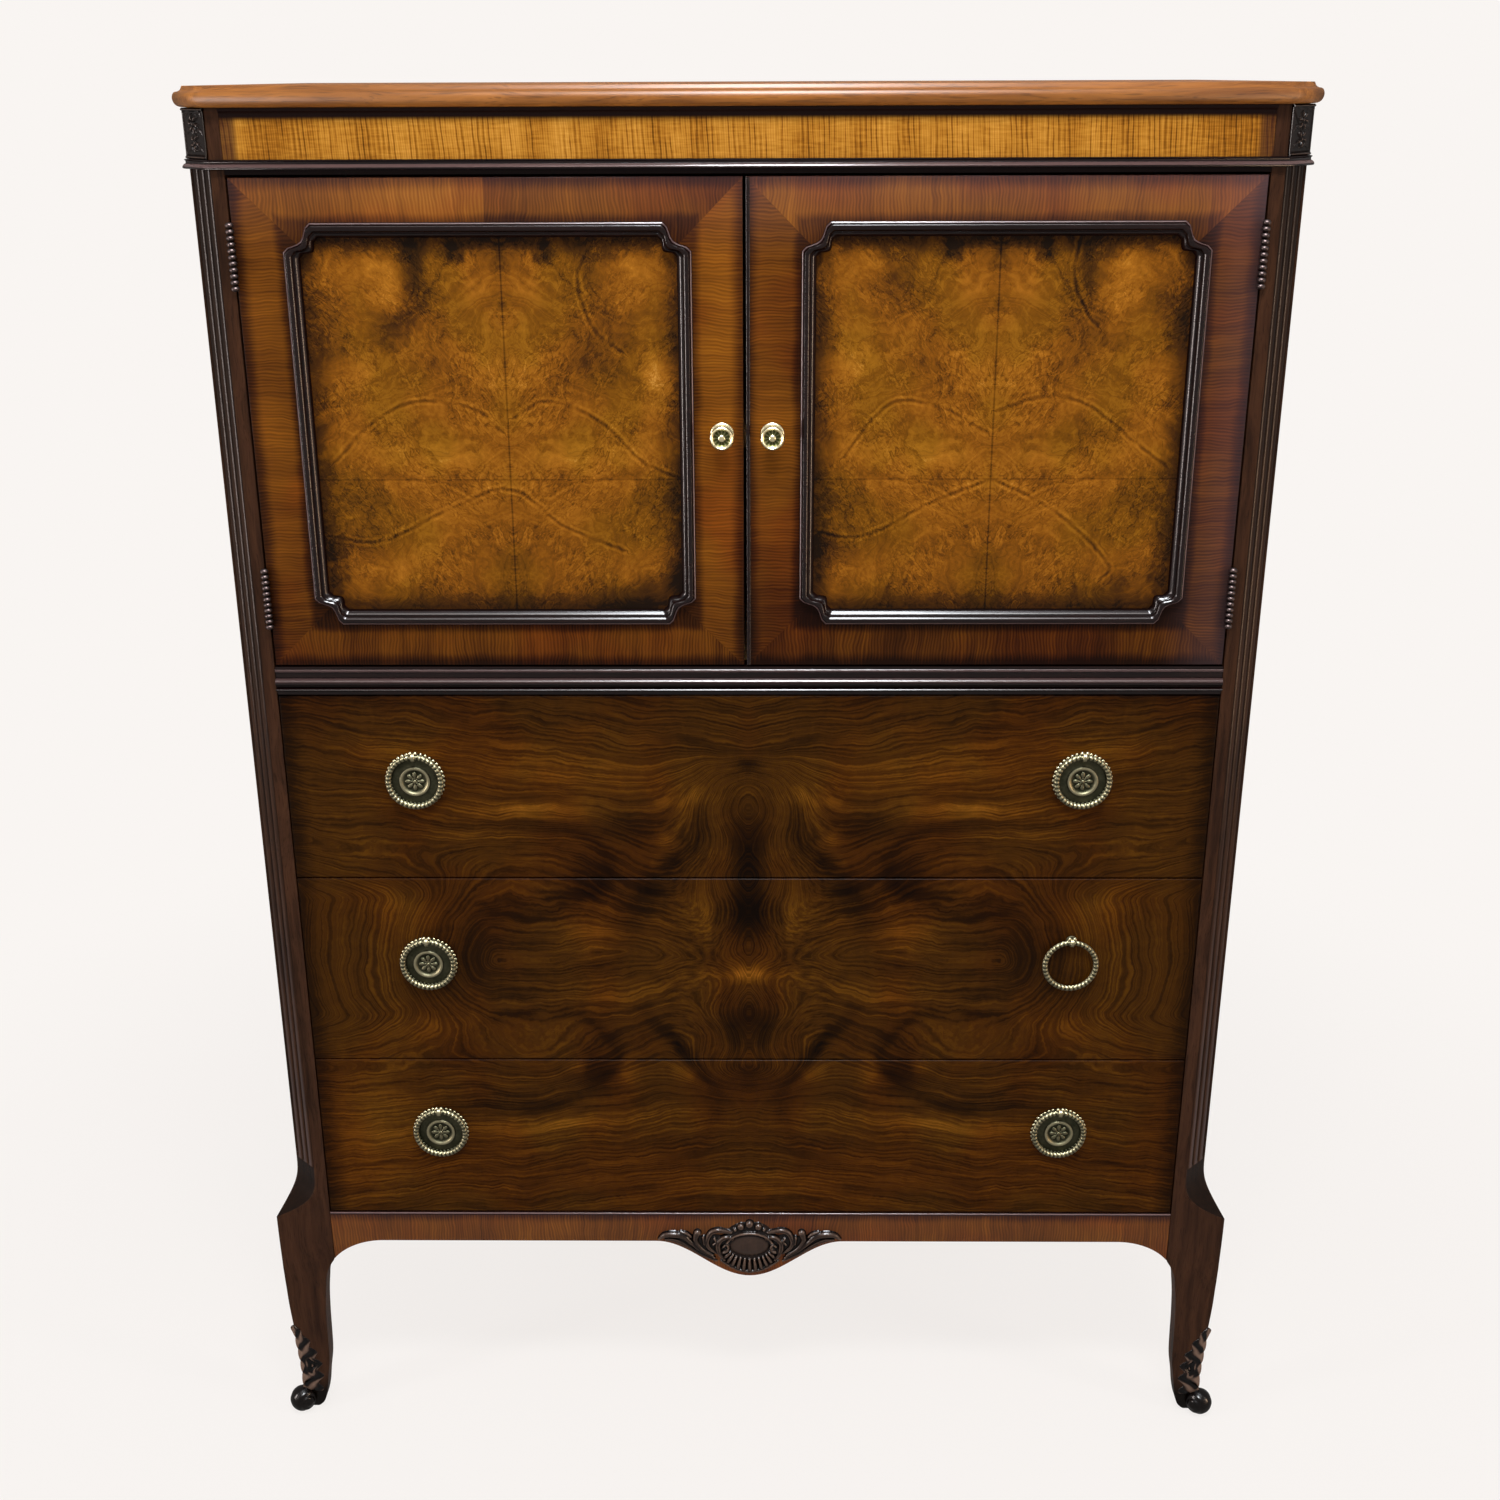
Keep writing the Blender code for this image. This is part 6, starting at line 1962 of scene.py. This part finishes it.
def makePlate(middle, surface, brass):
    profile = [(r / 1000, h / 1000) for r, h in pullSizes["profile"]]
    parts = [makePiece("disc", turnedMesh(profile, 96, (middle.x, surface, middle.z)), brass, 50)]
    petal = pullSizes["petalHalf"]
    circles = [("petals", pullSizes["petals"], pullSizes["plate"] - petal[0], petal)]
    circles += [("rosette", *circle) for circle in pullSizes["rosette"]]
    ahead = pullSizes["ahead"]
    for name, count, radius, half in circles:
        at = frontMatrix(middle.x, surface - ahead[name], middle.z)
        sizes = {"Count": count, "Radius": radius, "Half Sizes": half, "Segments": 10}
        parts.append(repeated(name, petalRing, at, brass, sizes))
    heart = ballMesh((middle.x, surface - ahead["heart"], middle.z), pullSizes["heart"])
    return parts + [makePiece("heart", heart, brass)]


def makePulls():
    brass = finishes["aged_brass"]
    surface = front - chest["fit"]
    for number, body in drawers:
        for side, hand in sides:
            label = f"{number}{side.title()}Fine"
            ringNode = f"ring_drawer_{number}_{side}"
            low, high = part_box(ringNode)
            middle = (low + high) / 2
            ring = torusMesh(middle, pullSizes["ring"], pullSizes["wire"])
            dress("ring" + label, ring, f"ring_{number}_{side}", "aged_brass", ringNode)
            if (number, side) == (2, "right"):
                # the plate is lost here, and only its post is left
                place = (middle.x, surface, middle.z + pullSizes["ring"])
                washer = turnedMesh(pullSizes["washer"], 48, place)
                parts, node = [makePiece("washer", washer, brass, 50)], "post"
            else:
                parts, node = makePlate(middle, surface, brass), "plate"
            plate = joinPieces("pull" + label, parts + makeEye(middle, brass))
            shadePiece(plate, lambda place: pullShade(place, middle, surface))
            settle(plate, body, "aged_brass", f"pull_{node}_drawer_{number}_{side}")


# The band that the ring hangs in, with its two small knuckles above
def makeEye(middle, brass):
    axis = Vector((middle.x, middle.y, middle.z + pullSizes["ring"]))
    (outer, bore, half), chamfer = pullSizes["eye"], 0.0004
    upper = [(outer, half - chamfer), (outer - chamfer, half), (bore, half)]
    section = [(r, -along) for r, along in reversed(upper)] + upper
    rings = []
    for i in range(32):
        c, d = math.cos(2 * math.pi * i / 32), math.sin(2 * math.pi * i / 32)
        rings.append([(axis.x + along, axis.y + r * c, axis.z + r * d) for r, along in section])
    parts = [makePiece("band", loft(rings, closed=True), brass, 40)]
    for hand in (-1, 1):
        radius, aside, up = pullSizes["knuckle"]
        ball = ballMesh((axis.x + hand * aside, axis.y, axis.z + up), [radius] * 3)
        parts.append(makePiece("knuckle", ball, brass))
    return parts


makePulls()
print("pulls: plates, rosettes, rings")


# The hinges

hingeSizes = {
    "length": 0.056,
    "balls": 11,
    "half": (0.0035, 0.0035, 0.0025),
    "plate": 0.0014,
    "plateDepth": 0.018,
    "proud": 0.0004,
    "end": 0.0055,
    "neck": 0.0032,  # how far the leaf reaches in front of the case, to its knuckles
    "pin": (postInner - 0.00085, front - 0.0039),
    # the runs of balls on each leaf, as first and count
    "runs": {"post": ((0, 4), (7, 4)), "door": ((4, 3),)},
}


# One leaf: its balls on the pin, its plate, and the necks between them
def makeLeaf(label, runs, near, at, bottom, bronze):
    pitch, plate = hingeSizes["length"] / hingeSizes["balls"], hingeSizes["plate"]
    parts = []
    for first, count in runs:
        place = Matrix.Translation((*at, bottom + (first + 0.5) * pitch))
        sizes = {"Count": count, "Radius": pitch, "Half Sizes": hingeSizes["half"], "Segments": 14}
        parts.append(repeated("balls", beadString, place, bronze, sizes))
    low, high = bottom + hingeSizes["end"], bottom + hingeSizes["length"] - hingeSizes["end"]
    plates = [(rectangle(front + 0.0002, front + hingeSizes["plateDepth"], low, high), plate, near)]
    for first, count in runs:
        lowNeck = bottom + (first + 0.15) * pitch + (pitch if first == 0 else 0)
        highNeck = bottom + (first + count - 0.15) * pitch - (pitch if first == 7 else 0)
        outline = rectangle(front - hingeSizes["neck"], front + 0.001, lowNeck, highNeck)
        plates.append((outline, plate - 0.0002, near + 0.0001))
    for outline, thickness, start in plates:
        bm = plateMesh([outline], thickness, "left", start, edge=0.0002, edgeSteps=1)
        parts.append(makePiece("plate", bm, bronze))
    return joinPieces(label, parts)


def makeHinges():
    postEdge = postInner - hingeSizes["proud"]
    doorEdge = postInner - doorSizes["hungGap"] + hingeSizes["proud"] - hingeSizes["plate"]
    for side, hand in sides:
        at = (hand * hingeSizes["pin"][0], hingeSizes["pin"][1])
        for level in ("lower", "upper"):
            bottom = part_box(f"post_leaf_{side}_{level}")[0].z
            for kind, body, edge in (("post", "carcass", postEdge), ("door", "door_" + side, doorEdge)):
                label = f"{kind}Hinge{side.title()}{level.title()}"
                near = min(hand * edge, hand * (edge + hingeSizes["plate"]))
                runs, bronze = hingeSizes["runs"][kind], finishes["hinge_bronze"]
                hinge = makeLeaf(label, runs, near, at, bottom, bronze)
                shadePiece(hinge, lambda place: 0.7 if place.y < front - 0.0050 else 0.2)
                settle(hinge, body, "hinge_bronze", f"{kind}_leaf_{side}_{level}")


makeHinges()
print("hinges: beaded knuckles and leaves")


corners = {"cad": cadBounds, "visual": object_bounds()}
both = {name: [list(corner) for corner in pair] for name, pair in corners.items()}
print("sizes:", both)
